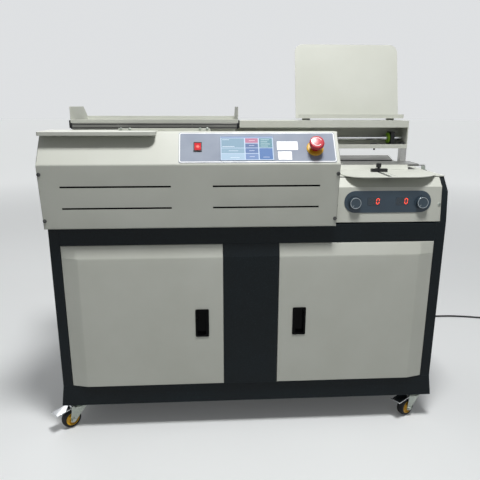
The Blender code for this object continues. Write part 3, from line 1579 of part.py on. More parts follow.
def make_plug(start, direction):
    """A moulded three-blade plug lying flat, its cord entering along a direction."""
    relief = rod("power_plug", (0, 0, 0), (plug_relief_length, 0, 0), plug_relief_radius, small_segments,
                 end_radius=plug_relief_end_radius)
    grip = plug_length * plug_grip_share
    face = plug_relief_length + plug_length
    outline = [(plug_relief_length - weld, -plug_width * plug_neck_share),
               (plug_relief_length + grip, -plug_width / 2), (face, -plug_width / 2),
               (face, plug_width / 2), (plug_relief_length + grip, plug_width / 2),
               (plug_relief_length - weld, plug_width * plug_neck_share)]
    half = plug_thickness / 2
    body = bevel(extruded("plug_body", [outline], "XY", -half, half), plug_round, 2)
    body = settle(body)
    fuse(relief, body)
    for y, z, turn in ((-plug_blade_spread, -plug_blade_drop, plug_blade_turn),
                       (plug_blade_spread, -plug_blade_drop, -plug_blade_turn), (0, plug_earth_rise, 0)):
        blade = slab("plug_blade", (-weld, plug_blade_length),
                     (-plug_blade_thickness / 2, plug_blade_thickness / 2),
                     (-plug_blade_width / 2, plug_blade_width / 2))
        blade.matrix_basis = (Matrix.Translation((face, y, z)) @ Matrix.Rotation(turn, 4, "X")
                              @ blade.matrix_basis)
        fuse(relief, blade)
    plug = settle(relief)
    heading = math.atan2(direction[1], direction[0])
    plug.matrix_basis = Matrix.Translation(start) @ Matrix.Rotation(heading, 4, "Z")
    place(plug, black)


def make_cord():
    """The free stretch from the gland to the coil, straight for a diameter at both of its ends."""
    diameter = 2 * cord_radius
    tip = Vector((gland_x, cabinet_depth + clear + gland_length + clear, gland_z))
    coil = coil_points()
    into = Vector(coil[1] - coil[0]).normalized()
    meet = Vector(coil[0]) - into * clear
    begin = tip + Vector((0, diameter, 0))
    finish = meet - into * diameter
    middle = [(gland_x + x, cabinet_depth + y, z) for x, y, z in cord_route]
    route = [tuple(begin)] + middle + [tuple(finish)]
    points, length = smooth_route(route, diameter * cord_point_spacing_share)
    points = np.vstack([tip, points, meet])
    tube("power_cord", points, cord_radius, 2, black)
    tube("cord_coil", coil, cord_radius, 1, black)
    coil_length = np.linalg.norm(np.diff(coil, axis=0), axis=1).sum()
    print("least gap in the coil, mm:", round(least_gap(coil, diameter) * 1000, 3))
    print("cord length, m:", round(length + coil_length + 2 * diameter, 3))
    out = Vector(coil[-1] - coil[-2]).normalized()
    make_plug(Vector(coil[-1]) + out * clear, out)


def centre_on_origin():
    """Move the carrying empty so that the machine's box, its cord apart, stands on the origin."""
    bpy.context.view_layer.update()
    depsgraph = bpy.context.evaluated_depsgraph_get()
    corners = []
    for obj in parts.objects:
        if obj.name in ("power_cord", "cord_coil", "power_plug", "cord_gland"):
            continue
        shown = obj.evaluated_get(depsgraph)
        mesh = shown.to_mesh()
        flat = np.empty(len(mesh.vertices) * 3)
        mesh.vertices.foreach_get("co", flat)
        turn = np.array(shown.matrix_world)
        corners.append(flat.reshape(-1, 3) @ turn[:3, :3].T + turn[:3, 3])
        shown.to_mesh_clear()
    corners = np.vstack(corners)
    low, high = corners.min(axis=0), corners.max(axis=0)
    binder.location = (-(low[0] + high[0]) / 2, -(low[1] + high[1]) / 2, -low[2])
    bpy.context.view_layer.update()
    print("machine size, m:", [round(float(v), 4) for v in high - low])
    print("carrying empty at:", [round(float(v), 6) for v in binder.location])


make_base_frame()
make_side("left_side_panel", -1)
make_side("right_side_panel", 1)
make_top_rail()
make_centre_panel()
make_rear_panel()
make_deck()
left_pull_x = make_door("left_door", -1)
right_pull_x = make_door("right_door", 1)
make_pull("left_pull", -1, left_pull_x)
make_pull("right_pull", 1, right_pull_x)
make_front_cover()
make_control_panel()
make_rocker()
make_stop_head()
make_left_table()
make_console()
make_knob("left_knob", -1)
make_knob("right_knob", 1)
make_cover_table()
make_side_guide()
make_nip()
make_beam()
make_carriage()
make_cutter()
make_glue_tank()
make_inside()
make_document_rest()
make_casters()
make_gland()
make_cord()
centre_on_origin()
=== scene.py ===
import json
import math

import bmesh
import bpy
import numpy as np
from mathutils import Matrix, Vector


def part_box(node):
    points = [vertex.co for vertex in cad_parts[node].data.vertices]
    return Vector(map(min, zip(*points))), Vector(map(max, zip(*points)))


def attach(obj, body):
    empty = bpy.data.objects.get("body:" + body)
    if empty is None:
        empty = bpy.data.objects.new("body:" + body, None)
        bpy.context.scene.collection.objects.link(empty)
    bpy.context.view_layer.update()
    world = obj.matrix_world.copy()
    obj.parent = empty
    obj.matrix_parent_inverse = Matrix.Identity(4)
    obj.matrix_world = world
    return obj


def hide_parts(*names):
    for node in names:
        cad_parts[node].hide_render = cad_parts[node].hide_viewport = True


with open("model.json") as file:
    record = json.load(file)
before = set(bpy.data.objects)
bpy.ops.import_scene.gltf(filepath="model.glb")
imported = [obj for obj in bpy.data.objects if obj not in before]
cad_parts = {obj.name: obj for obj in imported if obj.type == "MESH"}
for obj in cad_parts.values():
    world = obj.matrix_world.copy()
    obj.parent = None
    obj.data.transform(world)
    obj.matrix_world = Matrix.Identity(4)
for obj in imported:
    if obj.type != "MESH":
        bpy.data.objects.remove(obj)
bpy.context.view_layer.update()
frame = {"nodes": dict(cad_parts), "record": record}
print("frame loaded:", len(frame["nodes"]), "nodes")

# Places below are in the cabinet's own frame: x = 0 is its middle, y = 0 its front plane, z = 0 the floor.
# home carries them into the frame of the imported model.
cabinetDepth = 0.500
baseLow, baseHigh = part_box("base_frame")
home = np.array([(baseLow.x + baseHigh.x) / 2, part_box("deck_plate")[1].y - cabinetDepth, 0.0])

# Camera at the photograph's viewing angle; eye is its place, and its angles are in degrees
cameraSpec = {"eye": (-0.121, -1.457, 1.027), "pitchDown": 15.07, "yawRight": 3.42, "roll": 0.11,
              "focalPixels": 500, "imagePixels": 480, "sensor": 36.0}


# Lens in mm = sensor width x focal pixels / image pixels; turned right, then down, then about its own line of sight
def makeCamera(spec):
    lens = bpy.data.cameras.new("studioCamera")
    lens.sensor_width = spec["sensor"]
    lens.lens = spec["sensor"] * spec["focalPixels"] / spec["imagePixels"]
    lens.clip_start = 0.01
    camera = bpy.data.objects.new("studioCamera", lens)
    turn = (Matrix.Rotation(math.radians(-spec["yawRight"]), 4, "Z")
            @ Matrix.Rotation(math.radians(90 - spec["pitchDown"]), 4, "X")
            @ Matrix.Rotation(math.radians(spec["roll"]), 4, "Z"))
    camera.matrix_world = Matrix.Translation(Vector(home) + Vector(spec["eye"])) @ turn
    bpy.context.scene.collection.objects.link(camera)
    bpy.context.scene.camera = camera


makeCamera(cameraSpec)
bpy.context.scene.view_settings.view_transform = "Standard"


# Materials. Every pattern is in the object's own metres: a noise scale is 1000 over its width in millimetres.
# sRGB hex to linear: c / 12.92 below 0.04045, ((c + 0.055) / 1.055) ^ 2.4 above
def hexColour(text):
    shares = [int(text[i:i + 2], 16) / 255 for i in (1, 3, 5)]
    return (*(c / 12.92 if c <= 0.04045 else ((c + 0.055) / 1.055) ** 2.4 for c in shares), 1.0)


# A socket takes a link from another node's output, a hex colour, or a plain value
def setInputs(tree, node, values):
    for key, value in values.items():
        if isinstance(value, bpy.types.NodeSocket):
            tree.links.new(value, node.inputs[key])
        else:
            node.inputs[key].default_value = hexColour(value) if isinstance(value, str) else value


# Settings go to the node's own properties where it has them and else to its sockets; gives back one output
def addNode(tree, kind, settings, out=0):
    node = tree.nodes.new("ShaderNode" + kind)
    own = [key for key in settings if isinstance(key, str) and hasattr(node, key)]
    for key in own:
        setattr(node, key, settings[key])
    setInputs(tree, node, {key: value for key, value in settings.items() if key not in own})
    return node.outputs[out]


# Each look by its name, and the colour that the part's record files it under
looks, slotOf = {}, {}


# A new material with its shader's values; gives back its tree, its shader and the piece's own coordinates
def startMaterial(name, slot=None, **inputs):
    made = looks[name] = bpy.data.materials.new(name)
    slotOf[name] = slot
    made.use_nodes = True
    tree = made.node_tree
    shader = tree.nodes["Principled BSDF"]
    setInputs(tree, shader, {key: value for key, value in inputs.items() if value is not None})
    return tree, shader, addNode(tree, "TexCoord", {}, "Object")


# Lays one tone over another: its share goes from least to most while the driver goes from low to high
def layTone(tree, under, over, driver, low, high, most=1.0, least=0.0):
    share = addNode(tree, "MapRange", {"From Min": low, "From Max": high, "To Min": least, "To Max": most,
                                       "Value": driver})
    return addNode(tree, "Mix", {"data_type": "RGBA", 0: share, 6: under, 7: over}, 2)


# Roughness goes from rough - less to rough + more while the driver goes from low to high, and the relief
# stands depth metres high
def finishShader(tree, shader, tone, driver, low, high, rough, less, more, relief, bump, depth):
    gloss = addNode(tree, "MapRange", {"From Min": low, "From Max": high, "To Min": rough - less,
                                       "To Max": rough + more, "Value": driver})
    normal = addNode(tree, "Bump", {"Strength": bump, "Distance": depth, "Height": relief})
    setInputs(tree, shader, {"Base Color": tone, "Roughness": gloss, "Normal": normal})


# Sprayed and baked powder: drift is a slow change in tone and gloss over a hand's width, peel the orange skin,
# paintedCrest a tone painted on the peel's crests for the light and shade of that relief, and paintedEdgeHighlight
# a paler painted highlight along rounded edges
def powderCoat(name, slot, colour, shade, paintedCrestTone, paintedCrest, paintedEdgeTone, paintedEdgeHighlight, edgeMm, driftMm, peelMm, rough, bump,
               specular=None):
    tree, shader, coords = startMaterial(name, slot, **{"Specular IOR Level": specular})
    drift = addNode(tree, "TexNoise", {"Scale": 1000 / driftMm, "Detail": 3.0, "Vector": coords})
    peel = addNode(tree, "TexNoise", {"Scale": 1000 / peelMm, "Detail": 2.0, "Roughness": 0.6, "Vector": coords})
    rounded = addNode(tree, "Bevel", {"samples": 4, "Radius": edgeMm / 1000})
    face = addNode(tree, "NewGeometry", {}, "Normal")
    turned = addNode(tree, "VectorMath", {"operation": "DOT_PRODUCT", 0: rounded, 1: face}, "Value")
    tone = layTone(tree, colour, shade, drift, 0.3, 0.7)
    # Painted light on the relief: the crest tone is a painted glint where lighter than the coat, painted shade where
    # darker
    tone = layTone(tree, tone, paintedCrestTone, peel, 0.56, 0.74, paintedCrest)
    # Painted highlight: the paler edge tone goes where the rounded edge's normal turns away from the face's
    tone = layTone(tree, tone, paintedEdgeTone, turned, 0.995, 0.80, paintedEdgeHighlight)
    finishShader(tree, shader, tone, drift, 0.3, 0.7, rough, 0.05, 0.05, peel, bump, 0.0003)


# Ground, drawn or plated metal: lines are its long fine scratches, drawn out along the axis where stretch is
# small, and cloud the slow change in gloss that handling and plating leave
def workedMetal(name, slot, colour, shade, stretch, lineMm, cloudMm, rough, bump):
    tree, shader, coords = startMaterial(name, slot, Metallic=1.0)
    drawn = addNode(tree, "Mapping", {"Scale": stretch, "Vector": coords})
    lines = addNode(tree, "TexNoise", {"Scale": 1000 / lineMm, "Detail": 4.0, "Roughness": 0.7, "Vector": drawn})
    cloud = addNode(tree, "TexNoise", {"Scale": 1000 / cloudMm, "Detail": 3.0, "Vector": coords})
    tone = layTone(tree, colour, shade, lines, 0.35, 0.65)
    both = addNode(tree, "Math", {"operation": "MULTIPLY_ADD", 0: lines, 1: 0.4, 2: cloud})
    finishShader(tree, shader, tone, both, 0.5, 0.9, rough, 0.07, 0.09, lines, bump, 0.0002)


# Moulded plastic or rubber: grain is the spark-eroded texture of the mould, patch where hands have polished it,
# and lamp (tone, place, reach, glow) a light behind it that shines through less the further from it
def mouldedPlastic(name, slot, colour, shade, grainMm, patchMm, rough, bump, ior, specular=None, lamp=None):
    tree, shader, coords = startMaterial(name, slot, **{"IOR": ior, "Specular IOR Level": specular})
    grain = addNode(tree, "TexVoronoi", {"Scale": 1000 / grainMm, "Vector": coords})
    patch = addNode(tree, "TexNoise", {"Scale": 1000 / patchMm, "Detail": 4.0, "Vector": coords})
    tone = layTone(tree, colour, shade, patch, 0.35, 0.7)
    if lamp:
        lampTone, place, reach, glow = lamp
        centred = addNode(tree, "Mapping", {"Location": tuple(-place), "Vector": coords})
        away = addNode(tree, "VectorMath", {"operation": "LENGTH", 0: centred}, "Value")
        tone = layTone(tree, tone, lampTone, away, 0.0, reach, 0.0, 1.0)
        setInputs(tree, shader, {"Emission Color": tone, "Emission Strength": glow})
    finishShader(tree, shader, tone, patch, 0.3, 0.7, rough, 0.06, 0.08, grain, bump, 0.0002)


# A lit display under its clear film: each cell's colour is in the piece's attribute cellColour. The pixels are
# drawn at 0.8 mm, coarser than the real 0.2 mm, so that they can be seen
def litDisplay(name, slot, pixelMm, glow, rough, ior, specular=None):
    tree, shader, coords = startMaterial(name, slot, **{"IOR": ior, "Specular IOR Level": specular})
    cells = addNode(tree, "Attribute", {"attribute_name": "cellColour"})
    pixels = addNode(tree, "TexVoronoi", {"Scale": 1000 / pixelMm, "Vector": coords})
    shown = layTone(tree, cells, "#000000", pixels, 0.2, 0.8, 0.12)
    gloss = addNode(tree, "MapRange", {"To Min": rough, "To Max": rough + 0.05, "Value": pixels})
    setInputs(tree, shader, {"Base Color": shown, "Emission Color": shown, "Emission Strength": glow,
                             "Roughness": gloss})


# The rows are each maker's parameters in their order
materials = {
    powderCoat: {
        # Semi-gloss epoxy-polyester powder on sheet steel: even warm grey, soft sheen, painted crest shade and edge
        # highlight
        "lightPowderCoat": ("light_grey", "#c9cbc2", "#c3c5bb", "#b4b6ad", 0.25, "#d9dad4", 0.5, 1.2, 160, 1.6,
                            0.5, 0.35),
        # Fine-texture powder on the cabinet: a dull blue-black sandy skin with painted glints on its crests and edges
        "darkTexturePowder": ("dark_grey", "#0a1114", "#0e161a", "#27333a", 0.7, "#4c585f", 0.4, 1.4, 140, 2.2,
                              0.42, 1.0, 0.18),
        # Wet slate enamel on the console's aluminium plate: smoother than powder, painted crest glints and rim
        # highlight
        "slateEnamel": ("slate_plate", "#2d3b47", "#33434f", "#40505c", 0.2, "#8494a0", 0.4, 0.8, 60, 1.2,
                        0.42, 0.15)},
    workedMetal: {
        # Surface-ground steel of the jaws: streaks along X that stretch each highlight sideways
        "groundSteel": ("steel", "#b9b9b6", "#9a9a98", (0.03, 1.0, 1.0), 1.2, 40, 0.34, 0.12),
        # Black-oxide steel of bars and screws: dark and oily, with the drawing lines still in it
        "blackOxideSteel": ("dark_grey", "#5c5d5c", "#4b4c4c", (0.05, 1.0, 1.0), 1.2, 30, 0.36, 0.08),
        # Bright zinc plate on pressed steel: cool, cloudy, half matt
        "zincPlate": ("zinc", "#b4b9b2", "#99a199", (1.0, 1.0, 0.3), 3.0, 25, 0.4, 0.08),
        # Hard chrome on ground steel: near mirror, with only the faintest lines round the shaft
        "hardChrome": ("chrome", "#d8dadc", "#cdd0d2", (1.0, 0.05, 0.05), 0.8, 60, 0.16, 0.03),
        # Turned aluminium of the knobs' rings: fine lathe marks, pale glints
        "turnedAluminium": ("slate_plate", "#b6bcc0", "#a2a9ad", (1.0, 1.0, 1.0), 1.0, 8, 0.3, 0.03),
        # Natural anodised extrusion: grey and silky, die lines along X
        "anodisedExtrusion": ("steel", "#8b8b87", "#7b7b78", (0.02, 1.0, 1.0), 1.4, 60, 0.38, 0.05)},
    mouldedPlastic: {
        # Glass-filled nylon, spark-eroded: charcoal, dull, a pitted skin
        "blackNylon": ("black_plastic", "#111214", "#17181a", 0.9, 22, 0.46, 0.18, 1.53, 0.4),
        # Polished ABS of the door pulls: deep black with small clean glints
        "polishedAbs": ("black_plastic", "#030304", "#050506", 1.2, 30, 0.22, 0.02, 1.53, 0.06),
        # Extruded PVC cord jacket: black with a dull waxy sheen
        "cordJacketPvc": ("cord_black", "#141517", "#1c1d1f", 1.4, 30, 0.5, 0.12, 1.5),
        # Cast rubber tread: matt, greyed by the floor it has rolled over
        "treadRubber": ("tyre", "#0f1011", "#1f2021", 1.2, 14, 0.66, 0.25, 1.5, 0.3),
        # Moulded nylon of the wheels and the stop's collar: a warm opaque yellow, slightly waxy
        "yellowNylon": ("tyre", "#d8a81c", "#c99a18", 1.0, 12, 0.42, 0.1, 1.53),
        # Gloss polycarbonate of the stop head: saturated red with one soft highlight
        "redPolycarbonate": ("red", "#c4142a", "#b11025", 0.9, 14, 0.28, 0.05, 1.58),
        # Cast polyurethane buffer: lime green and satin
        "limePolyurethane": ("lime", "#8fc21e", "#82b31a", 1.2, 12, 0.45, 0.1, 1.5),
        # Screen-printed polyester film: flat grey-blue with a fine satin skin
        "printedPolyester": ("panel_film", "#929aa8", "#8a92a1", 0.8, 70, 0.5, 0.05, 1.57, 0.12),
        # White vinyl label stock and screen-printed white lines: clean and even
        "whiteVinyl": ("panel_film", "#e6e8e8", "#dddfdf", 0.8, 40, 0.4, 0.04, 1.53),
        # Black felt, fibrous, with no gloss at all: near-black painted shade behind the cover's vents and under the
        # table's slot
        "filterFelt": ("black_plastic", "#040405", "#070708", 1.5, 20, 0.85, 0.3, 1.45, 0.1),
        # Smoked acrylic window over the digits, cast and polished: dark and clear
        "smokedAcrylic": ("black_plastic", "#2a3843", "#2e3d48", 2.0, 40, 0.14, 0.0, 1.49),
        # Moulded slate ABS of the knobs: satin, fine mould grain
        "slateAbs": ("slate_plate", "#33434e", "#2d3c47", 0.9, 10, 0.4, 0.08, 1.53),
        # Screen-printing ink: matt and nearly black, a hair proud of what it is printed on
        "printInk": ("black_plastic", "#161d24", "#1b222a", 1.0, 20, 0.5, 0.03, 1.5, 0.3),
        # Hard-coated frame of the touch screen: pale blue-grey, even, half matt
        "hardCoatedFilm": ("screen", "#a3b0c2", "#9ba9bc", 1.0, 60, 0.45, 0.02, 1.5, 0.12),
        # Melted adhesive in the tank: amber, wet and smooth, with slow swirls
        "meltedAdhesive": ("light_grey", "#c9a765", "#b98f49", 9.0, 25, 0.2, 0.1, 1.48),
        # Clear red rocker, moulded, with a lamp behind it: paler over the lamp, deep red at its rim
        "lampLitRed": ("red", "#c4101f", "#b00c1a", 0.9, 8, 0.45, 0.02, 1.49, 0.12,
                       ("#ff8f80", sum(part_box("power_rocker"), Vector()) / 2, 0.0062, 0.14))},
    litDisplay: {
        # Liquid-crystal picture: pale and cool, hardly brighter than the film round it
        "litScreen": ("screen", 0.8, 0.04, 0.45, 1.5, 0.12),
        # Light-emitting segments: they glow in a dark window
        "litDigits": ("black_plastic", 0.8, 1.4, 0.2, 1.5)}}
for maker, rows in materials.items():
    for name, row in rows.items():
        maker(name, *row)
print("materials made:", len(looks))


# Shapes: a shape is (points, faces), and a surface is a function of two parameters on a grid.
# Joins each grid point to its neighbours; keep[i, j] says whether the face that starts there stays
def gridShape(grid, wrapU=False, wrapV=False, keep=None):
    countU, countV = grid.shape[:2]
    i, j = np.meshgrid(np.arange(countU - (not wrapU)), np.arange(countV - (not wrapV)), indexing="ij")
    if keep is not None:
        i, j = i[keep[:i.shape[0], :i.shape[1]]], j[keep[:i.shape[0], :i.shape[1]]]
    i, j = i.ravel(), j.ravel()
    nextI, nextJ = (i + 1) % countU, (j + 1) % countV
    faces = np.stack([i * countV + j, nextI * countV + j, nextI * countV + nextJ, i * countV + nextJ], axis=1)
    return grid.reshape(-1, 3), faces


# Angles of a full turn, which stops one step short of where it starts
def roundAngles(steps):
    return np.linspace(0, 2 * np.pi, steps, endpoint=False)


# The profile's (r, z) turned about Z: x = r cos a, y = r sin a, where ripple(a, r, z) may change r and z
def turnedShape(profile, steps=48, ripple=None, closed=False):
    profile = np.array(profile, float)
    a = roundAngles(steps)[:, None]
    r, z = (np.tile(column, (steps, 1)) for column in profile.T)
    if ripple is not None:
        r, z = ripple(a, r, z)
    return gridShape(np.stack([r * np.cos(a), r * np.sin(a), z], axis=-1), wrapU=True, wrapV=closed)


# Rings round a flat outline: ring k is the outline drawn in by profile[k][0] at height profile[k][1]
def plateShape(outline, profile):
    outline = np.array(outline, float)
    middle = (outline.min(axis=0) + outline.max(axis=0)) / 2
    half = (outline.max(axis=0) - outline.min(axis=0)) / 2
    rings = [np.insert(middle + (outline - middle) * np.clip((half - inset) / half, 0, 1), 2, height, axis=1)
             for inset, height in profile]
    return gridShape(np.stack(rings, axis=1), wrapU=True)


# A plate from z = low to high with its upper edge cut off by soft and its lower edge by foot; wide is how far in
# its two faces close
def slabShape(outline, wide, low, high, soft=0.0, foot=0.0):
    return plateShape(outline, [(wide, low), (foot, low), (0, low + foot), (0, high - soft), (soft, high),
                                (wide, high)])


# A line of (y, z) points carried along X through every x
def sweptShape(x, line, keep=None):
    return gridShape(np.stack(np.broadcast_arrays(x[:, None], line[:, 0], line[:, 1]), axis=-1), keep=keep)


# An outline of (y, z) points drawn out from x0 to x1, both ends closed to the middle point
def drawnShape(outline, x0, x1, middle):
    outline = np.array(outline)
    point = outline * 0 + middle
    rings = [np.insert(ring, 0, x, axis=1) for x, ring in ((x0, point), (x0, outline), (x1, outline), (x1, point))]
    return gridShape(np.stack(rings, axis=1), wrapU=True)


# Every point p goes to R p + t, the matrix's turn and shift
def moved(shape, matrix):
    points, faces = shape
    matrix = np.array(matrix)
    return points @ matrix[:3, :3].T + matrix[:3, 3], faces


# One shape of several: each one's faces count on from the points before it
def joined(shapes):
    points, faces, count = [], [], 0
    for some, theirs in shapes:
        points.append(some)
        faces += (np.asarray(theirs) + count).tolist()
        count += len(some)
    return np.vstack(points), faces


# p = centre + r (cos a, sin a), with a from start to end in degrees
def arcPoints(centre, radius, start, end, steps=6):
    a = np.radians(np.linspace(start, end, steps + 1))
    return np.stack([centre[0] + radius * np.cos(a), centre[1] + radius * np.sin(a)], axis=1)


# The outline of a rectangle with round corners, about its middle
def roundedBox(width, height, radius, steps=5):
    w, h = width / 2 - radius, height / 2 - radius
    return np.vstack([arcPoints(corner, radius, 90 * k, 90 * k + 90, steps)
                      for k, corner in enumerate(((w, h), (-w, h), (-w, -h), (w, -h)))])


# A bent line with each inner corner replaced by a curve through the corner's two tangent points:
# p = (1-t)^2 a + 2t(1-t) corner + t^2 b
def roundedPath(points, radius, steps=4):
    points = [np.array(p, float) for p in points]
    result = [points[0]]
    t = np.linspace(0, 1, steps + 1)[:, None]
    for before, corner, after in zip(points, points[1:], points[2:]):
        a, b = (corner + (end - corner) / np.linalg.norm(end - corner) * radius for end in (before, after))
        result += list((1 - t) ** 2 * a + 2 * t * (1 - t) * corner + t ** 2 * b)
    return np.array(result + [points[-1]])


# How far along a line each of its points lies
def runAlong(line):
    return np.concatenate([[0], np.cumsum(np.linalg.norm(np.diff(line, axis=0), axis=1))])


# The points of a line at the given distances along it
def pointsAlong(line, places):
    run = runAlong(line)
    return np.stack([np.interp(places, run, line[:, k]) for k in range(line.shape[1])], axis=1)


# The shortest turn that carries Z on to the axis
def turnTo(axis):
    return Vector((0, 0, 1)).rotation_difference(Vector(axis)).to_matrix().to_4x4()


# Carries a shape to a point: spun about its own Z, then Z turned to the axis, then shifted
def at(point, axis=(0, 0, 1), spin=0.0):
    return Matrix.Translation(Vector(point)) @ turnTo(axis) @ Matrix.Rotation(spin, 4, "Z")


# A frame at base with its Y along up, its Z along out and its X across, up x out
def frameFrom(base, up, out):
    across = Vector(up).cross(Vector(out))
    return Matrix.Translation(Vector(base)) @ Matrix((across, Vector(up), Vector(out))).transposed().to_4x4()


# Adds one modifier with its settings
def addModifier(piece, name, kind, settings):
    modifier = piece.modifiers.new(name, kind)
    for key, value in settings.items():
        setattr(modifier, key, value)


# Shades a mesh smooth up to an angle, gives it its look and hangs it on its body
def hangPiece(mesh, look, body, replaces, smoothAngle=35):
    mesh.shade_smooth()
    mesh.set_sharp_from_angle(angle=math.radians(smoothAngle))
    mesh.materials.clear()
    mesh.materials.append(looks[look])
    piece = bpy.data.objects.new(mesh.name, mesh)
    bpy.context.scene.collection.objects.link(piece)
    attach(piece, body)
    if replaces:
        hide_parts(*([replaces] if isinstance(replaces, str) else replaces))
    return piece


# Puts a shape, or a list of shapes, in one mesh in the model's own frame and merges its seams and poles. A closed
# piece has its normals turned outwards; an open one is flipped where the sum of normal x area points away from
# outward, and gets its wall on the inner side
def makePiece(name, shape, look, body="cabinet", replaces=(), closed=True, outward=None, wall=0.0,
              flat=False, smoothAngle=35, cellTones=None):
    points, faces = joined(shape) if isinstance(shape, list) else shape
    mesh = bpy.data.meshes.new(name)
    mesh.from_pydata((np.asarray(points) + home).tolist(), [], [list(map(int, face)) for face in faces])
    if cellTones:
        colours = mesh.color_attributes.new("cellColour", "FLOAT_COLOR", "CORNER")
        tones = np.array([hexColour(tone) for tone in cellTones], np.float32)
        perCorner = np.repeat(tones, [len(f.vertices) for f in mesh.polygons], axis=0)
        colours.data.foreach_set("color", perCorner.ravel())
    bm = bmesh.new()
    bm.from_mesh(mesh)
    bmesh.ops.remove_doubles(bm, verts=bm.verts, dist=0.000002)
    bmesh.ops.dissolve_degenerate(bm, dist=0.000001, edges=bm.edges)
    if closed:
        bmesh.ops.recalc_face_normals(bm, faces=bm.faces)
    if outward is not None:
        total = sum((face.normal * face.calc_area() for face in bm.faces), Vector())
        if total.dot(Vector(outward)) < 0:
            bmesh.ops.reverse_faces(bm, faces=bm.faces)
    bm.to_mesh(mesh)
    bm.free()
    piece = hangPiece(mesh, look, body, replaces, smoothAngle)
    if wall:
        addModifier(piece, "wall", "SOLIDIFY", {"thickness": wall, "offset": -1, "use_even_offset": True})
    if wall or flat:
        addModifier(piece, "flatFaces", "WEIGHTED_NORMAL", {"keep_sharp": True, "weight": 100})
    return piece


# The body that each CAD node moves with
bodyOf = {node: body for body, members in frame["record"]["behaviour"]["bodies"].items() for node in members}


# A merged copy of a CAD node whose sharp edges get a real bend or moulding radius
def roundedCopy(node, look, width):
    mesh = frame["nodes"][node].data.copy()
    mesh.name = node + "_rounded"
    bm = bmesh.new()
    bm.from_mesh(mesh)
    bmesh.ops.remove_doubles(bm, verts=bm.verts, dist=0.000002)
    bmesh.ops.dissolve_limit(bm, angle_limit=math.radians(1.0), verts=bm.verts, edges=bm.edges)
    bm.to_mesh(mesh)
    bm.free()
    piece = hangPiece(mesh, look, bodyOf[node], node)
    addModifier(piece, "round", "BEVEL", {"width": width, "segments": 2, "limit_method": "ANGLE",
                                          "angle_limit": math.radians(40), "harden_normals": True})
    return piece


# Power cord: the free run and its coil in one tube, on the route that the solids follow. The route's last points
# lie on the floor, and only their x and y are listed
cordSpec = {"radius": 0.00425, "floor": 0.00426, "sides": 14, "start": (0.400, 0.5346, 0.215), "lead": 0.009,
            "coilMiddle": (1.2880, 0.7100), "coilOuter": 0.0590, "coilPitch": 0.0092, "coilRise": 0.0090,
            "turnsInLayer": 2.5, "coilStart": math.radians(100), "gap": 0.0003,
            "fall": [(0.400, 0.558, 0.2140), (0.402, 0.578, 0.2070), (0.408, 0.604, 0.1800),
                     (0.416, 0.623, 0.1370), (0.426, 0.636, 0.0900), (0.440, 0.648, 0.0470), (0.462, 0.662, 0.0170)],
            "lying": [(0.494, 0.678), (0.550, 0.699), (0.640, 0.729), (0.740, 0.762), (0.840, 0.790), (0.930, 0.806),
                      (1.010, 0.811), (1.080, 0.809), (1.150, 0.798), (1.212, 0.783), (1.245, 0.776)]}


# A Catmull-Rom curve through the points, half of 2b + (c-a)t + (2a-5b+4c-d)t^2 + (3b-a-3c+d)t^3, then points
# spacing apart on it
def smoothRoute(route, spacing):
    route = np.array(route)
    ends = np.vstack([2 * route[0] - route[1], route, 2 * route[-1] - route[-2]])
    t = np.linspace(0, 1, 40, endpoint=False)[:, None]
    fine = [0.5 * (2 * b + (c - a) * t + (2 * a - 5 * b + 4 * c - d) * t ** 2 + (3 * b - a - 3 * c + d) * t ** 3)
            for a, b, c, d in zip(ends, ends[1:], ends[2:], ends[3:])]
    fine = np.vstack(fine + [route[-1:]])
    length = runAlong(fine)[-1]
    return pointsAlong(fine, np.linspace(0, length, round(length / spacing) + 1))


# Spirals in on the floor, climbs one layer in the half turn where it reverses, and spirals out on top:
# radius = outer - pitch (middle - |turn - middle|)
def coilLine(spec, pointsATurn):
    total = 2 * spec["turnsInLayer"] + 0.5
    turn = np.linspace(0, total, round(total * pointsATurn) + 1)
    climb = np.clip((turn - spec["turnsInLayer"]) / 0.5, 0, 1)
    radius = spec["coilOuter"] - spec["coilPitch"] * (total / 2 - np.abs(turn - total / 2))
    angle = spec["coilStart"] - 2 * np.pi * turn
    return np.stack([spec["coilMiddle"][0] + radius * np.cos(angle), spec["coilMiddle"][1] + radius * np.sin(angle),
                     spec["floor"] + spec["coilRise"] * climb * climb * (3 - 2 * climb)], axis=1)


# A circle carried along a path: p = centre + r (cos a side + sin a up), on axes that turn as little as they
# can from ring to ring; the end rings draw in to a point
def tubeShape(path, radius, sides):
    tangent = np.gradient(path, axis=0)
    tangent /= np.linalg.norm(tangent, axis=1)[:, None]
    side = np.zeros_like(path)
    side[0] = np.cross(tangent[0], (0, 0, 1))
    side[0] /= np.linalg.norm(side[0])
    for k in range(1, len(path)):
        carried = side[k - 1] - tangent[k] * (side[k - 1] @ tangent[k])
        side[k] = carried / np.linalg.norm(carried)
    up = np.cross(side, tangent)
    path, side, up = (np.pad(line, ((1, 1), (0, 0)), "edge")[:, None, :] for line in (path, side, up))
    radius = np.pad(np.full(len(tangent), radius), 1)[:, None, None]
    a = roundAngles(sides)[None, :, None]
    return gridShape(path + radius * (np.cos(a) * side + np.sin(a) * up), wrapV=True)


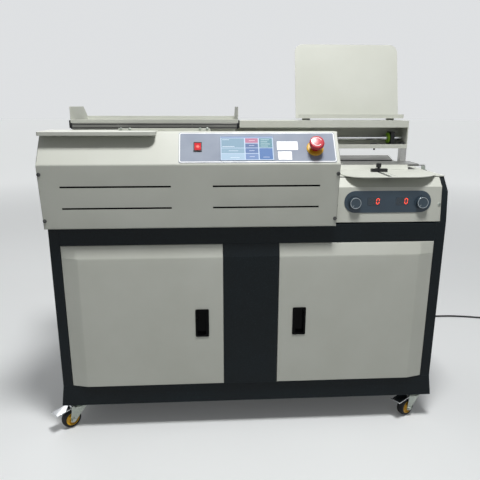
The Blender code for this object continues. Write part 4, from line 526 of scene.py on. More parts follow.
# The line falls from the gland, lies on the floor, runs into the coil on its tangent and ends in a straight tail
# of lead, and a tube is carried along it
def makeCord(spec):
    diameter = 2 * spec["radius"]
    rough, fine = coilLine(spec, 24), coilLine(spec, 48)
    into, out = rough[1] - rough[0], fine[-1] - fine[-2]
    into, out = into / np.linalg.norm(into), out / np.linalg.norm(out)
    enter = rough[0] - into * spec["lead"]
    start = np.array(spec["start"])
    route = ([start + [0, diameter, 0]] + spec["fall"] + [(x, y, spec["floor"]) for x, y in spec["lying"]]
             + [enter - into * (spec["gap"] + diameter)])
    path = np.vstack([start, smoothRoute(route, diameter), enter, fine[1:], fine[-1] + out * spec["lead"]])
    length = float(runAlong(path)[-1])
    piece = makePiece("power_cord_jacket", tubeShape(path, spec["radius"], spec["sides"]), "cordJacketPvc",
                      replaces=("power_cord", "cord_coil"))
    print("cord length:", round(length, 3), "m")
    return piece, path + home, length


cordPiece, cordPath, cordLength = makeCord(cordSpec)

# Cord gland: a hexagon nut against the panel, a ribbed sleeve that tapers on to the cord
glandSpec = {"middle": (0.400, 0.5003, 0.215), "nut": 0.0125, "nutHeight": 0.006, "sleeve": 0.0088, "tip": 0.0063,
             "length": 0.0337, "ribs": 7, "ribDepth": 0.0006}


# Six corners, 60 degrees apart
def hexOutline(radius):
    return arcPoints((0, 0), radius, 0, 300, 5)


# Sleeve: r goes evenly from sleeve to tip, less ribDepth where sin(2 pi ribs share) is above zero
def makeGland(middle, nut, nutHeight, sleeve, tip, length, ribs, ribDepth):
    along = np.linspace(0, 1, 60)
    r = sleeve + (tip - sleeve) * along - ribDepth * (np.sin(along * ribs * 2 * np.pi) > 0)
    profile = np.column_stack([r, nutHeight + (length - nutHeight) * along])
    shapes = [turnedShape(np.vstack([[0, nutHeight - 0.001], profile, [0, length]]), 32),
              slabShape(hexOutline(nut), nut, 0, nutHeight, 0.001, 0.0005)]
    return makePiece("cord_gland_body", moved(joined(shapes), at(middle, (0, 1, 0))), "blackNylon",
                     replaces="cord_gland")


glandPiece = makeGland(**glandSpec)
plugPiece = roundedCopy("power_plug", "cordJacketPvc", 0.0006)
print("cord laid")


# Screws and bolts. Pan head: z = height sqrt(1 - 0.7 (r / radius)^2), less 0.55 height inside a cross
def panHead(radius, height):
    share = np.linspace(0, 1, 9)
    dome = np.column_stack([share * radius, height * np.sqrt(1 - 0.7 * share ** 2)])

    # The cross is where the smaller of |x|, |y| is under 0.14 and the larger under 0.6 of the radius
    def recess(a, r, z):
        x, y = np.abs(r * np.cos(a)) / radius, np.abs(r * np.sin(a)) / radius
        inCross = (np.minimum(x, y) < 0.14) & (np.maximum(x, y) < 0.6) & (z > 0)
        return r, z - 0.55 * height * inCross

    return turnedShape(np.vstack([dome, [(radius, 0), (0, 0)]]), 32, recess)


# Hexagon head: its outline drawn in by 8 % of the radius over its top 15 %
def hexHead(radius, height):
    return plateShape(hexOutline(radius), [(radius, 0), (0, 0), (0, height * 0.85), (radius * 0.08, height),
                                           (radius, height)])


# One piece for all the cabinet's screws of a kind; places are (point, axis) pairs, each turned a little more
def makeScrews(name, shape, places, look):
    makePiece(name, [moved(shape, at(point, axis, 0.7 * k)) for k, (point, axis) in enumerate(places)], look)


# Front cover: one sheet folded along X, with its vents cut through, and two welded end walls
coverSpec = {"left": -0.600, "right": 0.250, "sheet": 0.0015, "bend": 0.0035, "endMiddle": (-0.010, 0.810),
             "profile": [(-0.016, 0.6804), (-0.029, 0.6804), (-0.049, 0.867), (0.0155, 0.9535), (0.050, 0.9535),
                         (0.050, 0.8205)],
             "ventZ": (0.73865, 0.80145), "ventHeight": 0.0052,
             "ventX": ((-0.5426, -0.2326), (-0.1144, 0.1946)), "leftReach": 0.0500, "rightReach": 0.0415}
frontOut = Vector((0, -0.1866, -0.020)).normalized()
slopeUp, slopeOut = Vector((0, 0.0645, 0.0865)).normalized(), Vector((0, -0.0865, 0.0645)).normalized()
slopeFrame = frameFrom((0, -0.049, 0.867), slopeUp, slopeOut)


# The faces that lie inside one of the ranges of x and one of the ranges of z or of the run
def holesIn(x, v, rangesX, rangesV):
    inX, inV = (sum((line[1:] + line[:-1] > 2 * a) & (line[1:] + line[:-1] < 2 * b) for a, b in ranges) > 0
                for line, ranges in ((x, rangesX), (v, rangesV)))
    return inX[:, None] & inV


# The skin is the profile with rounded corners carried along X, without the faces in the rows of vents
def makeFrontCover(left, right, sheet, bend, endMiddle, profile, ventZ, ventHeight, ventX, leftReach, rightReach):
    path = roundedPath(profile, bend)
    corners = np.array(profile)
    slant = np.linalg.norm(corners[2] - corners[1]) / (corners[2] - corners[1])[1]
    sharpRun = runAlong(corners)
    shorter = (runAlong(path)[-1] - sharpRun[-1]) / 4  # the first rounded bend is a little shorter than its corner
    rows = [sharpRun[1] + shorter + (z - corners[1][1] + np.array([0, ventHeight])) * slant for z in ventZ]
    run = np.unique(np.round(np.concatenate([runAlong(path), *rows]), 7))
    x = np.unique(np.concatenate([np.linspace(left, right, 18), np.ravel(ventX)]))
    makePiece("front_cover_skin", sweptShape(x, pointsAlong(path, run), ~holesIn(x, run, ventX, rows)),
              "lightPowderCoat", replaces="front_cover", closed=False, outward=(0, -1, 0.6), wall=sheet)
    ends = []
    for x0, reach in ((left + 0.0001, leftReach), (right - 0.0001 - sheet, rightReach)):
        outline = roundedPath(profile[1:5] + [(0.050, 0.8205), (reach, 0.8160), (reach, 0.6804)], 0.0015)
        ends.append(drawnShape(outline, x0, x0 + sheet, endMiddle))
    makePiece("front_cover_ends", ends, "lightPowderCoat")
    # Near-black pads behind each vent: painted shade for the dark seen through the vents
    shadePads = []
    for x0, x1 in ventX:
        pad = slabShape(roundedBox(0.014, x1 - x0 + 0.012, 0.001), 0.2, 0, 0.0020)
        for z in ventZ:
            y = np.interp(z, corners[1:3, 1], corners[1:3, 0]) + sheet + 0.0034
            shadePads.append(moved(pad, frameFrom(((x0 + x1) / 2, y, z + ventHeight / 2), (-1, 0, 0), frontOut)))
    makePiece("vent_shade_pads", shadePads, "filterFelt")
    strip = [(-0.386, 0.9525), (-0.116, 0.9525), (-0.122, 0.9620), (-0.386, 0.9620)]
    strip = slabShape(roundedPath(strip + strip[:2], 0.0015, 3)[1:-1], 0.01, 0, 0.0015, 0.0004, 0.0004)
    makePiece("cover_strip", moved(strip, frameFrom((0, 0.0490, 0), (0, 0, 1), (0, -1, 0))), "lightPowderCoat")


makeFrontCover(**coverSpec)
# The cover screws take the dark black-oxide look as painted shade: it stands for the shadow round their silver heads
makeScrews("cover_screws", panHead(0.0056, 0.0034),
           [((x, y, z), frontOut) for x, y, z in ((-0.5950, -0.0462, 0.841), (-0.5950, -0.0317, 0.706),
                                                  (0.2450, -0.0460, 0.839), (0.2450, -0.0316, 0.705))],
           "blackOxideSteel")
makeScrews("strip_screws", panHead(0.0040, 0.0026),
           [((x, 0.0475, 0.9600), (0, -1, 0)) for x in (-0.378, -0.353, -0.149, -0.128)], "zincPlate")

# Control panel: printed film with a white line round it, two blank labels as (x, v, width, height)
panelSpec = {"left": -0.209, "right": 0.240, "low": 0.005, "high": 0.1045, "height": 0.0015, "line": 0.0028,
             "inset": 0.0010, "round": 0.0070, "ink": 0.00008, "label": 0.00012,
             "labels": ((0.1005, 0.0598, 0.060, 0.028), (0.092, 0.0270, 0.039, 0.027))}


# A place on the cover's slope: x along the machine, v up the slope, out square to it
def onSlope(x, v, out=0.0):
    return slopeFrame @ at((x, v, out))


# The line is the band between two round-cornered boxes, one drawn in by line
def makePanelPrint(spec):
    wide, high = (spec[far] - spec[near] - 2 * spec["inset"] for near, far in (("left", "right"), ("low", "high")))
    line, low, top = spec["line"], spec["height"], spec["height"] + spec["ink"]
    outer = roundedBox(wide, high, spec["round"])
    inner = roundedBox(wide - 2 * line, high - 2 * line, spec["round"] - line)
    rings = [np.insert(ring, 2, z, axis=1) for ring, z in ((outer, low), (outer, top), (inner, top), (inner, low))]
    band = gridShape(np.stack(rings, axis=1), wrapU=True, wrapV=True)
    middle = onSlope((spec["left"] + spec["right"]) / 2, (spec["low"] + spec["high"]) / 2)
    makePiece("panel_line", moved(band, middle), "whiteVinyl")
    makePiece("blank_labels", [moved(slabShape(roundedBox(w, h, 0.0012), 0.02, 0, spec["label"]), onSlope(x, v, low))
                               for x, v, w, h in spec["labels"]], "whiteVinyl")


roundedCopy("control_panel", "printedPolyester", 0.0003)
makePanelPrint(panelSpec)

# Touch screen: a pale frame round a lit picture of plain cells, each one (left, low, right, high) in thousandths of
# the screen, and its colour
screenSpec = {"left": -0.0925, "right": 0.0615, "low": 0.0105, "high": 0.0920, "base": 0.0003, "top": 0.0030,
              "rim": 0.0022, "edge": 0.0006, "step": 0.0005, "picture": 0.00044, "layer": 0.00012, "cells": {
                  "#c2d3e6": [(0, 0, 1000, 1000)], "#8d9fc0": [(0, 940, 1000, 1000)],
                  "#87a3b6": [(12, 520, 448, 925)], "#8fabbe": [(12, 285, 448, 500)], "#a9c2d6": [(12, 20, 448, 262)],
                  "#b67d97": [(468, 725, 712, 925)], "#6478a0": [(468, 520, 712, 700)],
                  "#667fab": [(468, 285, 712, 500)], "#7890bb": [(468, 20, 712, 262)],
                  "#6b93a0": [(732, 520, 985, 925)], "#5d7db0": [(732, 20, 985, 500)],
                  "#d9e6f0": [(30, 560, 260, 580), (30, 855, 160, 872), (150, 380, 330, 396)],
                  "#e4eef6": [(180, 90, 350, 106)], "#ecd3dd": [(540, 812, 650, 830)],
                  "#cfd9ea": [(540, 604, 640, 620), (540, 384, 640, 400), (540, 130, 640, 146),
                              (800, 110, 920, 126)],
                  "#d3e6e8": [(765, 850, 930, 866), (765, 760, 890, 776), (765, 670, 940, 686),
                              (765, 580, 900, 596)]}}


# Each cell (left, low, right, high) is one quad at its own height
def flatCells(cells, heights):
    cells = np.array(cells, float)
    corners = cells[:, [[0, 1], [2, 1], [2, 3], [0, 3]]]
    level = np.broadcast_to(np.reshape(heights, (-1, 1, 1)), (len(cells), 4, 1))
    return np.concatenate([corners, level], axis=-1).reshape(-1, 3), np.arange(4 * len(cells)).reshape(-1, 4)


# The body's outline is drawn in ring by ring to a sunk face, and the picture's cells lie on it
def makeScreen(left, right, low, high, base, top, rim, edge, step, picture, layer, cells):
    wide, tall = right - left, high - low
    middle = onSlope((left + right) / 2, (low + high) / 2)
    body = plateShape(roundedBox(wide, tall, 0.0025), [
        (0.06, base), (0, base), (0, top - edge), (edge, top), (rim - 0.0004, top), (rim, top - step),
        (0.06, top - step)])
    makePiece("touch_screen_body", moved(body, middle), "hardCoatedFilm", replaces="touch_screen", flat=True)
    w, h = wide / 2 - rim, tall / 2 - rim
    tones = [tone for tone, some in cells.items() for _ in some]
    shares = np.concatenate(list(cells.values())) / 1000
    areas = (shares[:, 2] - shares[:, 0]) * (shares[:, 3] - shares[:, 1])
    heights = top - picture + layer * np.argsort(np.argsort(-areas)) / len(areas)  # smaller cells lie higher
    makePiece("touch_screen_picture", moved(flatCells((shares * 2 - 1) * [w, h, w, h], heights), middle),
              "litScreen", closed=False, outward=(0, -1, 1), cellTones=tones)


makeScreen(**screenSpec)

# Rocker and bezel, emergency stop
roundedCopy("rocker_bezel", "blackNylon", 0.0005)
roundedCopy("power_rocker", "lampLitRed", 0.0006)
stopSpec = {"x": 0.1797, "v": 0.050, "base": 0.0018, "travel": 0.0024, "neck": 0.0110, "neckHeight": 0.0220,
            "head": 0.0212, "headHeight": 0.014, "bend": 0.005, "dish": 0.0009, "flutes": 12, "fluteDepth": 0.00045,
            "collar": 0.0245, "collarHeight": 0.0035, "arrow": 0.0125, "arrowHalf": 0.00085, "tipHalf": 0.0023,
            "arrowSink": 0.00035, "arrowWall": 0.0003}


# Head: z = top - dish share^2 out to a round edge, then under the rim to the neck
def makeStop(x, v, base, travel, neck, neckHeight, head, headHeight, bend, dish, flutes, fluteDepth, collar,
             collarHeight, arrow, arrowHalf, tipHalf, arrowSink, arrowWall):
    place = onSlope(x, v, base)
    top, edge = neckHeight + headHeight, head - bend
    share = np.linspace(0, 1, 12)
    profile = np.vstack([
        np.column_stack([edge * share, top - dish * share ** 2]),
        arcPoints((edge, top - bend - dish), bend, 85, 0, 6),
        [(head, neckHeight + 0.0022), (head - 0.0020, neckHeight), (neck + 0.0010, neckHeight + 0.0002),
         (neck, neckHeight - 0.0010), (neck, travel), (0, travel)]])

    # Shallow finger flutes round the rim: r less their depth where cos(flutes a) is above zero
    def grip(a, r, z):
        rim = (r > head * 0.97) & (z > neckHeight)
        return r - fluteDepth * rim * np.clip(np.cos(flutes * a), 0, 1), z

    makePiece("stop_head_cap", moved(turnedShape(profile, 96, grip), place), "redPolycarbonate", "stop_head",
              replaces="stop_head")
    arrows = []  # each a narrow arc of 105 degrees, then a tip that narrows to nothing in 16 more
    for turn in (0, 180):
        a = np.radians(np.append(np.linspace(20, 125, 16), [125, 125 + 16]) + turn)[:, None]
        half = np.append(np.full(16, arrowHalf), [tipHalf, 0])[:, None]
        r = arrow + half * [-1, 1]
        points = np.stack([r * np.cos(a), r * np.sin(a), 0 * r + top - arrowSink], axis=-1)
        arrows += [gridShape(points[:16]), gridShape(points[:15:-1])]
    makePiece("stop_arrows", moved(joined(arrows), place), "whiteVinyl", "stop_head", closed=False,
              outward=slopeOut, wall=arrowWall)
    ring = [(neck + 0.0006, 0), (collar, 0), (collar, 0.0012), (collar - 0.0012, 0.0026),
            (collar - 0.0045, collarHeight), (neck + 0.0012, collarHeight), (neck + 0.0006, collarHeight - 0.0006)]
    makePiece("stop_collar_moulding", moved(turnedShape(ring, 72, closed=True), place), "yellowNylon",
              replaces="stop_collar_ring")


makeStop(**stopSpec)

# Right console: folded cover, slate plate, turning knobs, displays
consoleUp = Vector((0, 0.0105, 0.106)).normalized()
consoleOut = Vector((0, -consoleUp.z, consoleUp.y))
consoleFrame = frameFrom((0.416, 0.004 + 0.0105 * 0.062 / 0.106, 0.7455), consoleUp, consoleOut)
knobSpec = {"across": 0.103, "drop": 0.003, "base": 0.0021, "radius": 0.0170, "height": 0.0150, "flutes": 40,
            "fluteDepth": 0.00035, "ringIn": 0.0146, "ringOut": 0.0166, "dish": 0.0010, "pointerTurn": 140,
            "pointerPlace": 0.0108}


# Profile of the grip: a dished face, a flat rim that carries the ring, a small chamfer and a straight side
def makeKnob(name, side, across, drop, base, radius, height, flutes, fluteDepth, ringIn, ringOut, dish, pointerTurn,
             pointerPlace):
    place = consoleFrame @ at((side * across, -drop, base))
    top = height - 0.0002
    profile = np.vstack([
        np.column_stack([np.linspace(0, ringIn - 0.0006, 8), top - dish * (1 - np.linspace(0, 0.55, 8) ** 2)]),
        [(ringIn, top - 0.0003), (ringIn + 0.0001, top), (ringOut, top), (radius - 0.0003, top - 0.0007),
         (radius, top - 0.0011)], [(radius, z) for z in np.linspace(top - 0.0030, 0.0022, 5)],
        [(radius - 0.0006, 0.0018), (radius - 0.0006, 0), (0, 0)]])

    # Fine grip lines on the straight side: r less their depth where cos(flutes a) is above zero
    def grip(a, r, z):
        onSide = (r > radius - 0.0001) & (z < top - 0.0025) & (z > 0.0020)
        return r - fluteDepth * onSide * np.clip(np.cos(flutes * a), 0, 1), z

    makePiece(name + "_grip", moved(turnedShape(profile, 240, grip), place), "slateAbs", name, replaces=name)
    ring = turnedShape([(ringIn + 0.0002, top - 0.0001), (ringIn + 0.0004, top + 0.0002),
                        (ringOut - 0.0004, top + 0.0002), (ringOut - 0.0001, top - 0.0001)], 72, closed=True)
    pointer = slabShape(roundedBox(0.0011, 0.0050, 0.0005, 3), 0.01, top - 0.0010, top - 0.0002)
    pointer = moved(pointer, at((0, 0, 0), spin=math.radians(pointerTurn)) @ at((0, pointerPlace, 0)))
    makePiece(name + "_ring", moved(joined([ring, pointer]), place), "turnedAluminium", name)


scaleSpec = {"out": 0.0018, "ink": 0.00008, "inner": 0.0198, "outer": 0.0206, "ticks": 0.0222}


# An arc over 270 degrees with eleven ticks round each knob, printed on the plate
def makeDialScales(spec, knob):
    shapes = []
    for side in (-1, 1):
        place = consoleFrame @ at((side * knob["across"], -knob["drop"], spec["out"]))
        for k, turn in enumerate(np.radians(np.linspace(225, -45, 11))):
            tick = slabShape(roundedBox(0.0018 if k % 5 else 0.0026, 0.0006, 0.0001, 1), 0.01, 0, spec["ink"])
            shapes.append(moved(tick, place @ at((0, 0, 0), spin=turn) @ at((spec["ticks"], 0, 0))))
        a = np.radians(np.linspace(225, -45, 55))[:, None]
        r = np.array([spec["inner"], spec["inner"], spec["outer"], spec["outer"]])
        z = np.array([0, spec["ink"], spec["ink"], 0])
        shapes.append(moved(gridShape(np.stack([r * np.cos(a), r * np.sin(a), z + 0 * a], axis=-1), wrapV=True),
                            place))
    makePiece("dial_scales", shapes, "printInk")


makeDialScales(scaleSpec, knobSpec)
makeKnob("left_knob", -1, **knobSpec)
makeKnob("right_knob", 1, **knobSpec)
roundedCopy("console_cover", "lightPowderCoat", 0.0006)
roundedCopy("console_plate", "slateEnamel", 0.0003)
for node in ("left_display", "right_display"):  # these two stay CAD pieces and only get their look
    frame["nodes"][node].data.materials.clear()
    frame["nodes"][node].data.materials.append(looks["smokedAcrylic"])

# Seven-segment digits: each segment is a slanted bar from (x0, y0) to (x1, y1) in shares of a digit, the middle one
# last, and only the last digit of each display is lit, as a 0
digitSpec = {"height": 0.0160, "width": 0.0080, "bar": 0.0021, "gap": 0.62, "pitch": 0.0122, "slant": 0.10,
             "top": 0.00276, "middle": 0.0015, "displays": (-0.0437, 0.0437), "lit": "#ff4a2e", "dark": "#0d1216",
             "segments": ((0, 1, 1, 1), (1, 0.5, 1, 1), (1, 0, 1, 0.5), (0, 0, 1, 0), (0, 0, 0, 0.5),
                          (0, 0.5, 0, 1), (0, 0.5, 1, 0.5))}


# x leans by slant times the height over the middle
def makeDigits(spec):
    cells, tones = [], []
    size = np.array([spec["width"], spec["height"]])
    for centre in spec["displays"]:
        for k in (-1, 0, 1):
            corner = np.array([centre + k * spec["pitch"], spec["middle"]]) - size / 2
            for bar, (x0, y0, x1, y1) in enumerate(spec["segments"]):
                grow = np.array([-spec["gap"], 0.5] if y0 == y1 else [0.5, -spec["gap"]]) * spec["bar"]
                cells.append((*(corner + size * (x0, y0) - grow), *(corner + size * (x1, y1) + grow)))
                tones.append(spec["lit" if k == 1 and bar < 6 else "dark"])
    points, faces = flatCells(cells, spec["top"])
    points[:, 0] += (points[:, 1] - spec["middle"]) * spec["slant"]
    makePiece("display_digits", moved((points, faces), consoleFrame), "litDigits", closed=False,
              outward=(0, -1, 0), cellTones=tones)


makeDigits(digitSpec)
makeScrews("console_screws", panHead(0.0046, 0.0028),
           [((x, 0.0092, 0.7362), consoleOut) for x in (0.5765, 0.2580)], "zincPlate")
print("controls made")

# Doors: one folded pan each, its front a height field with two long chamfers
doorSpec = {"inner": 0.086, "outer": 0.569, "low": 0.158, "high": 0.622, "proud": 0.013, "sideChamfer": 0.050,
            "topChamfer": 0.040, "fold": 0.0022, "back": 0.018, "sheet": 0.0012, "pullX": 0.152, "pullZ": 0.371,
            "holeX": 0.0176, "holeZ": 0.0426, "axisX": 0.553, "axisY": 0.005, "blockY": 0.0093, "reach": 0.0070}


# Places along one side of a pan and how far back each is bent: x = low + r (1 - cos t) and y = r (1 - sin t)
# round both edges, with a flange that goes straight back
def foldedAxis(low, high, fold, deep, extra):
    t = np.radians(np.linspace(0, 90, 6))
    step, bent = fold * (1 - np.cos(t)), fold * (1 - np.sin(t))
    inside = np.unique(np.round(np.concatenate([np.linspace(low + fold, high - fold, 14), extra]), 7))[1:-1]
    return (np.concatenate([[low], low + step, inside, high - step[::-1], [high]]),
            np.concatenate([[deep], bent, 0 * inside, bent[::-1], [deep]]))


# y = -proud min(1, distance to the outer side / chamfer, distance to the top / chamfer), its edges folded
# back round a small radius
def makeDoor(name, side, inner, outer, low, high, proud, sideChamfer, topChamfer, fold, back, sheet, pullX, pullZ,
             holeX, holeZ, axisX, axisY, blockY, reach):
    near = np.array([-0.003, 0.003])
    holeX, holeZ = pullX + holeX * np.array([-1, 1]), pullZ + holeZ * np.array([-1, 1])
    x, backX = foldedAxis(inner, outer, fold, back, np.concatenate([outer - sideChamfer + near, holeX]))
    z, backZ = foldedAxis(low, high, fold, back, np.concatenate([high - topChamfer + near, holeZ]))
    gridX, gridZ = np.meshgrid(x, z, indexing="ij")
    rise = np.minimum(np.minimum((outer - gridX) / sideChamfer, (high - gridZ) / topChamfer), 1.0)
    y = np.minimum(np.maximum(backX[:, None], backZ) - proud * rise, back)
    pan = gridShape(np.stack([side * gridX, y, gridZ], axis=-1), keep=~holesIn(x, z, [holeX], [holeZ]))
    makePiece(name + "_pan", pan, "lightPowderCoat", name, replaces=name, closed=False, outward=(0, -1, 0),
              wall=sheet, smoothAngle=30)
    pivots = []
    for blockLow, blockHigh, pinLow, pinHigh in ((low + 0.0013, low + 0.012, low - reach, low + 0.002),
                                                 (high - 0.012, high - 0.0013, high - 0.002, high + reach)):
        block = slabShape(roundedBox(0.016, 0.0145, 0.0015), 0.01, blockLow, blockHigh, 0.0006, 0.0006)
        pin = turnedShape([(0, pinLow), (0.0024, pinLow), (0.0030, pinLow + 0.0006), (0.0030, pinHigh - 0.0006),
                           (0.0024, pinHigh), (0, pinHigh)], 24)
        pivots += [moved(block, at((side * axisX, blockY, 0))), moved(pin, at((side * axisX, axisY, 0)))]
    makePiece(name + "_pivots", pivots, "zincPlate", name)


makeDoor("left_door", -1, **doorSpec)
makeDoor("right_door", 1, **doorSpec)
for node in ("left_pull", "right_pull"):
    roundedCopy(node, "polishedAbs", 0.0008)
print("doors hung")

# Cabinet, deck, tables and what rides on them: the radius of each piece's bends or edges, by look
bends = {
    "darkTexturePowder": {"base_frame": 0.0009, "left_side_panel": 0.0006, "right_side_panel": 0.0006,
                          "top_rail": 0.0006, "centre_panel": 0.0006, "rear_panel": 0.0005},
    "lightPowderCoat": {"deck_plate": 0.0006, "cover_table": 0.0008, "left_table": 0.0007, "carriage_beam": 0.0008,
                        "carriage_tray": 0.0006, "document_rest": 0.0006},
    "groundSteel": {"nip_front_jaw": 0.0006, "nip_rear_jaw": 0.0006, "right_post": 0.0006, "carriage_bushing": 0.0012,
                    "front_clamp_jaw": 0.0006, "milling_cutter": 0.0004, "glue_roller": 0.0008},
    "blackNylon": {"side_guide": 0.0008, "guide_screw": 0.0006, "travel_stop": 0.0010},
    "hardChrome": {"front_left_pedal": 0.0007, "front_right_pedal": 0.0007},
    "zincPlate": {"cutter_motor": 0.0008, "glue_tank": 0.0008, "chip_bin": 0.0005, "electrics_box": 0.0006,
                  "front_left_fork": 0.0005, "front_right_fork": 0.0005, "rear_left_fork": 0.0005,
                  "rear_right_fork": 0.0005}}
for look, widths in bends.items():
    for node, width in widths.items():
        roundedCopy(node, look, width)

# Carriage rail: a grooved extrusion with a black cap on each end, and a seal strip in each groove
railSpec = {"left": -0.5405, "right": -0.0345, "front": 0.130, "depth": 0.050, "low": 0.9561, "high": 0.9741,
            "cap": 0.0024, "soft": 0.0008, "grooveDepth": 0.0022, "grooveLip": 0.0030, "grooveEdge": 0.0034,
            "sealPlace": 0.0041, "handle": 0.030}


# The outline in Y and Z goes round the section and into two grooves along the front
def makeRail(left, right, front, depth, low, high, cap, soft, grooveDepth, grooveLip, grooveEdge, sealPlace, handle):
    back, deep = front + depth, front + grooveDepth
    wayIn = ((front, grooveLip), (deep, grooveEdge), (deep, 2 * sealPlace - grooveEdge),
             (front, 2 * sealPlace - grooveLip))
    outline = ([(front + soft, low), (front, low + soft)] + [(y, low + z) for y, z in wayIn]
               + [(y, high - z) for y, z in reversed(wayIn)] + [(front, high - soft), (front + soft, high)]
               + [(back - soft, high), (back, high - soft), (back, low + soft), (back - soft, low)])
    x0, x1 = left + cap, right - cap
    middle = ((front + back) / 2 + 0.005, (low + high) / 2)
    makePiece("carriage_rail_extrusion", drawnShape(outline, x0, x1, middle), "anodisedExtrusion", "carriage",
              replaces="carriage_rail", smoothAngle=25)
    caps = []
    for inner, sign in ((x0, -1), (x1, 1)):
        for wide, z0, z1, start, end in ((depth, low + 0.0001, high - 0.0003, 0.0001, cap + 0.0024),
                                         (handle, low + 0.0030, high + 0.0085, cap + 0.0022, cap + 0.0066)):
            plate = slabShape(roundedBox(wide, z1 - z0, 0.0015), 0.03, start, end, 0.0006)
            caps.append(moved(plate, frameFrom((inner, front + wide / 2, (z0 + z1) / 2), (0, 0, 1), (sign, 0, 0))))
    makePiece("carriage_rail_caps", caps, "blackNylon", "carriage")
    strip = slabShape(roundedBox(right - left - 0.006, 0.0020, 0.0005, 2), 0.3, 0, 0.0003)
    seals = [moved(strip, frameFrom(((left + right) / 2, front + 0.0020, z), (0, 0, 1), (0, -1, 0)))
             for z in (low + sealPlace, high - sealPlace)]
    makePiece("carriage_rail_seals", seals, "blackNylon", "carriage")


makeRail(**railSpec)


# Guide shaft with chamfered ends, and the buffer ring on it, whose rim is round
shaftSpec = {"y": 0.410, "z": 0.911, "radius": 0.0080, "reach": 0.5962, "chamfer": 0.0010, "ringX": 0.54195,
             "ringBore": 0.0083, "ringRadius": 0.01895, "ringHalf": 0.00425, "ringSoft": 0.00345}


# The rod is one half's profile and its mirror, and the ring a flat band with two quarter arcs for a rim
def makeShaft(y, z, radius, reach, chamfer, ringX, ringBore, ringRadius, ringHalf, ringSoft):
    # A profile of (r, x) turned about the shaft's axis, from its middle at x
    def onShaft(profile, steps, x, closed=False):
        return moved(turnedShape(profile, steps, closed=closed), at((x, y, z), (1, 0, 0)))

    half = [(0, reach), (radius - chamfer, reach), (radius, reach - chamfer), (radius, 0.40)]
    rod = [(r, -x) for r, x in half] + [(radius, 0)] + half[::-1]
    makePiece("guide_shaft_rod", onShaft(rod, 40, 0), "hardChrome", replaces="guide_shaft")
    r, x, flat = ringRadius - ringSoft, ringHalf - ringSoft, ringRadius - ringSoft - 0.0005
    ring = np.vstack([[(ringBore, -ringHalf), (flat, -ringHalf)], arcPoints((r, -x), ringSoft, 270, 360, 5),
                      arcPoints((r, x), ringSoft, 0, 90, 5), [(flat, ringHalf), (ringBore, ringHalf)]])
    makePiece("buffer_ring_moulding", onShaft(ring, 48, ringX, closed=True), "limePolyurethane",
              replaces="buffer_ring")


makeShaft(**shaftSpec)

# Screws of the side panels, the rear panel and the beam's ends
sideScrews = ((0.034, 0.182), (0.034, 0.420), (0.034, 0.655), (0.466, 0.182), (0.466, 0.420), (0.466, 0.655),
              (0.466, 0.790), (0.250, 0.182), (0.250, 0.790))
rearScrews = [*((x, z) for x in (-0.545, -0.180, 0.180, 0.545) for z in (0.182, 0.790)),
              (-0.545, 0.480), (0.545, 0.480)]
makeScrews("panel_screws", panHead(0.0048, 0.0026),
           [((sign * 0.600, y, z), (sign, 0, 0)) for sign in (-1, 1) for y, z in sideScrews]
           + [((x, 0.500, z), (0, 1, 0)) for x, z in rearScrews], "blackOxideSteel")
makeScrews("beam_end_screws", hexHead(0.0052, 0.0035),
           [((sign * 0.5995, y, z), (sign, 0, 0)) for sign in (-1, 1) for y, z in ((0.385, 0.8890), (0.440, 0.9600))],
           "zincPlate")

# Adhesive pool round the roller, level with the lower part of its rim
poolSpec = {"x": (0.0345, 0.0945, 0.1255, 0.1855), "y": (0.2295, 0.2410, 0.3090, 0.3205), "level": 0.8030,
            "depth": 0.0030}


# Three by three flat cells, the middle one left open for the roller
def makePool(spec):
    x, y = np.meshgrid(spec["x"], spec["y"], indexing="ij")
    keep = np.ones((3, 3), bool)
    keep[1, 1] = False
    makePiece("adhesive_pool", gridShape(np.stack([x, y, 0 * x + spec["level"]], axis=-1), keep=keep),
              "meltedAdhesive", closed=False, outward=(0, 0, 1), wall=spec["depth"])


makePool(poolSpec)

# Cover table: a ramp that lifts the cover on to the nip, a black sheet under the slot and black strips along it
# as painted shade, two scale lines
tableSpec = {"left": 0.290, "right": 0.535, "top": 0.8221, "rampFront": 0.1668, "rampBack": 0.1812, "rampTop": 0.8376,
             "sheet": 0.0010, "slotX": 0.416, "slotHalf": 0.003, "lip": 0.0016, "front": 0.0050, "slotFront": 0.022,
             "slotBack": 0.170, "shadeSheetLow": 0.81934, "shadeSheetHigh": 0.81956, "lines": (0.4225, 0.4370), "ink": 0.00006}


# A box with a small chamfer all round, from its lowest and highest corner
def boxShape(low, high, soft):
    low, high = np.array(low), np.array(high)
    wide, deep, tall = high - low
    slab = slabShape(roundedBox(wide, deep, soft, 2), max(wide, deep), 0, tall, soft, soft)
    return moved(slab, at((*(high + low)[:2] / 2, low[2])))


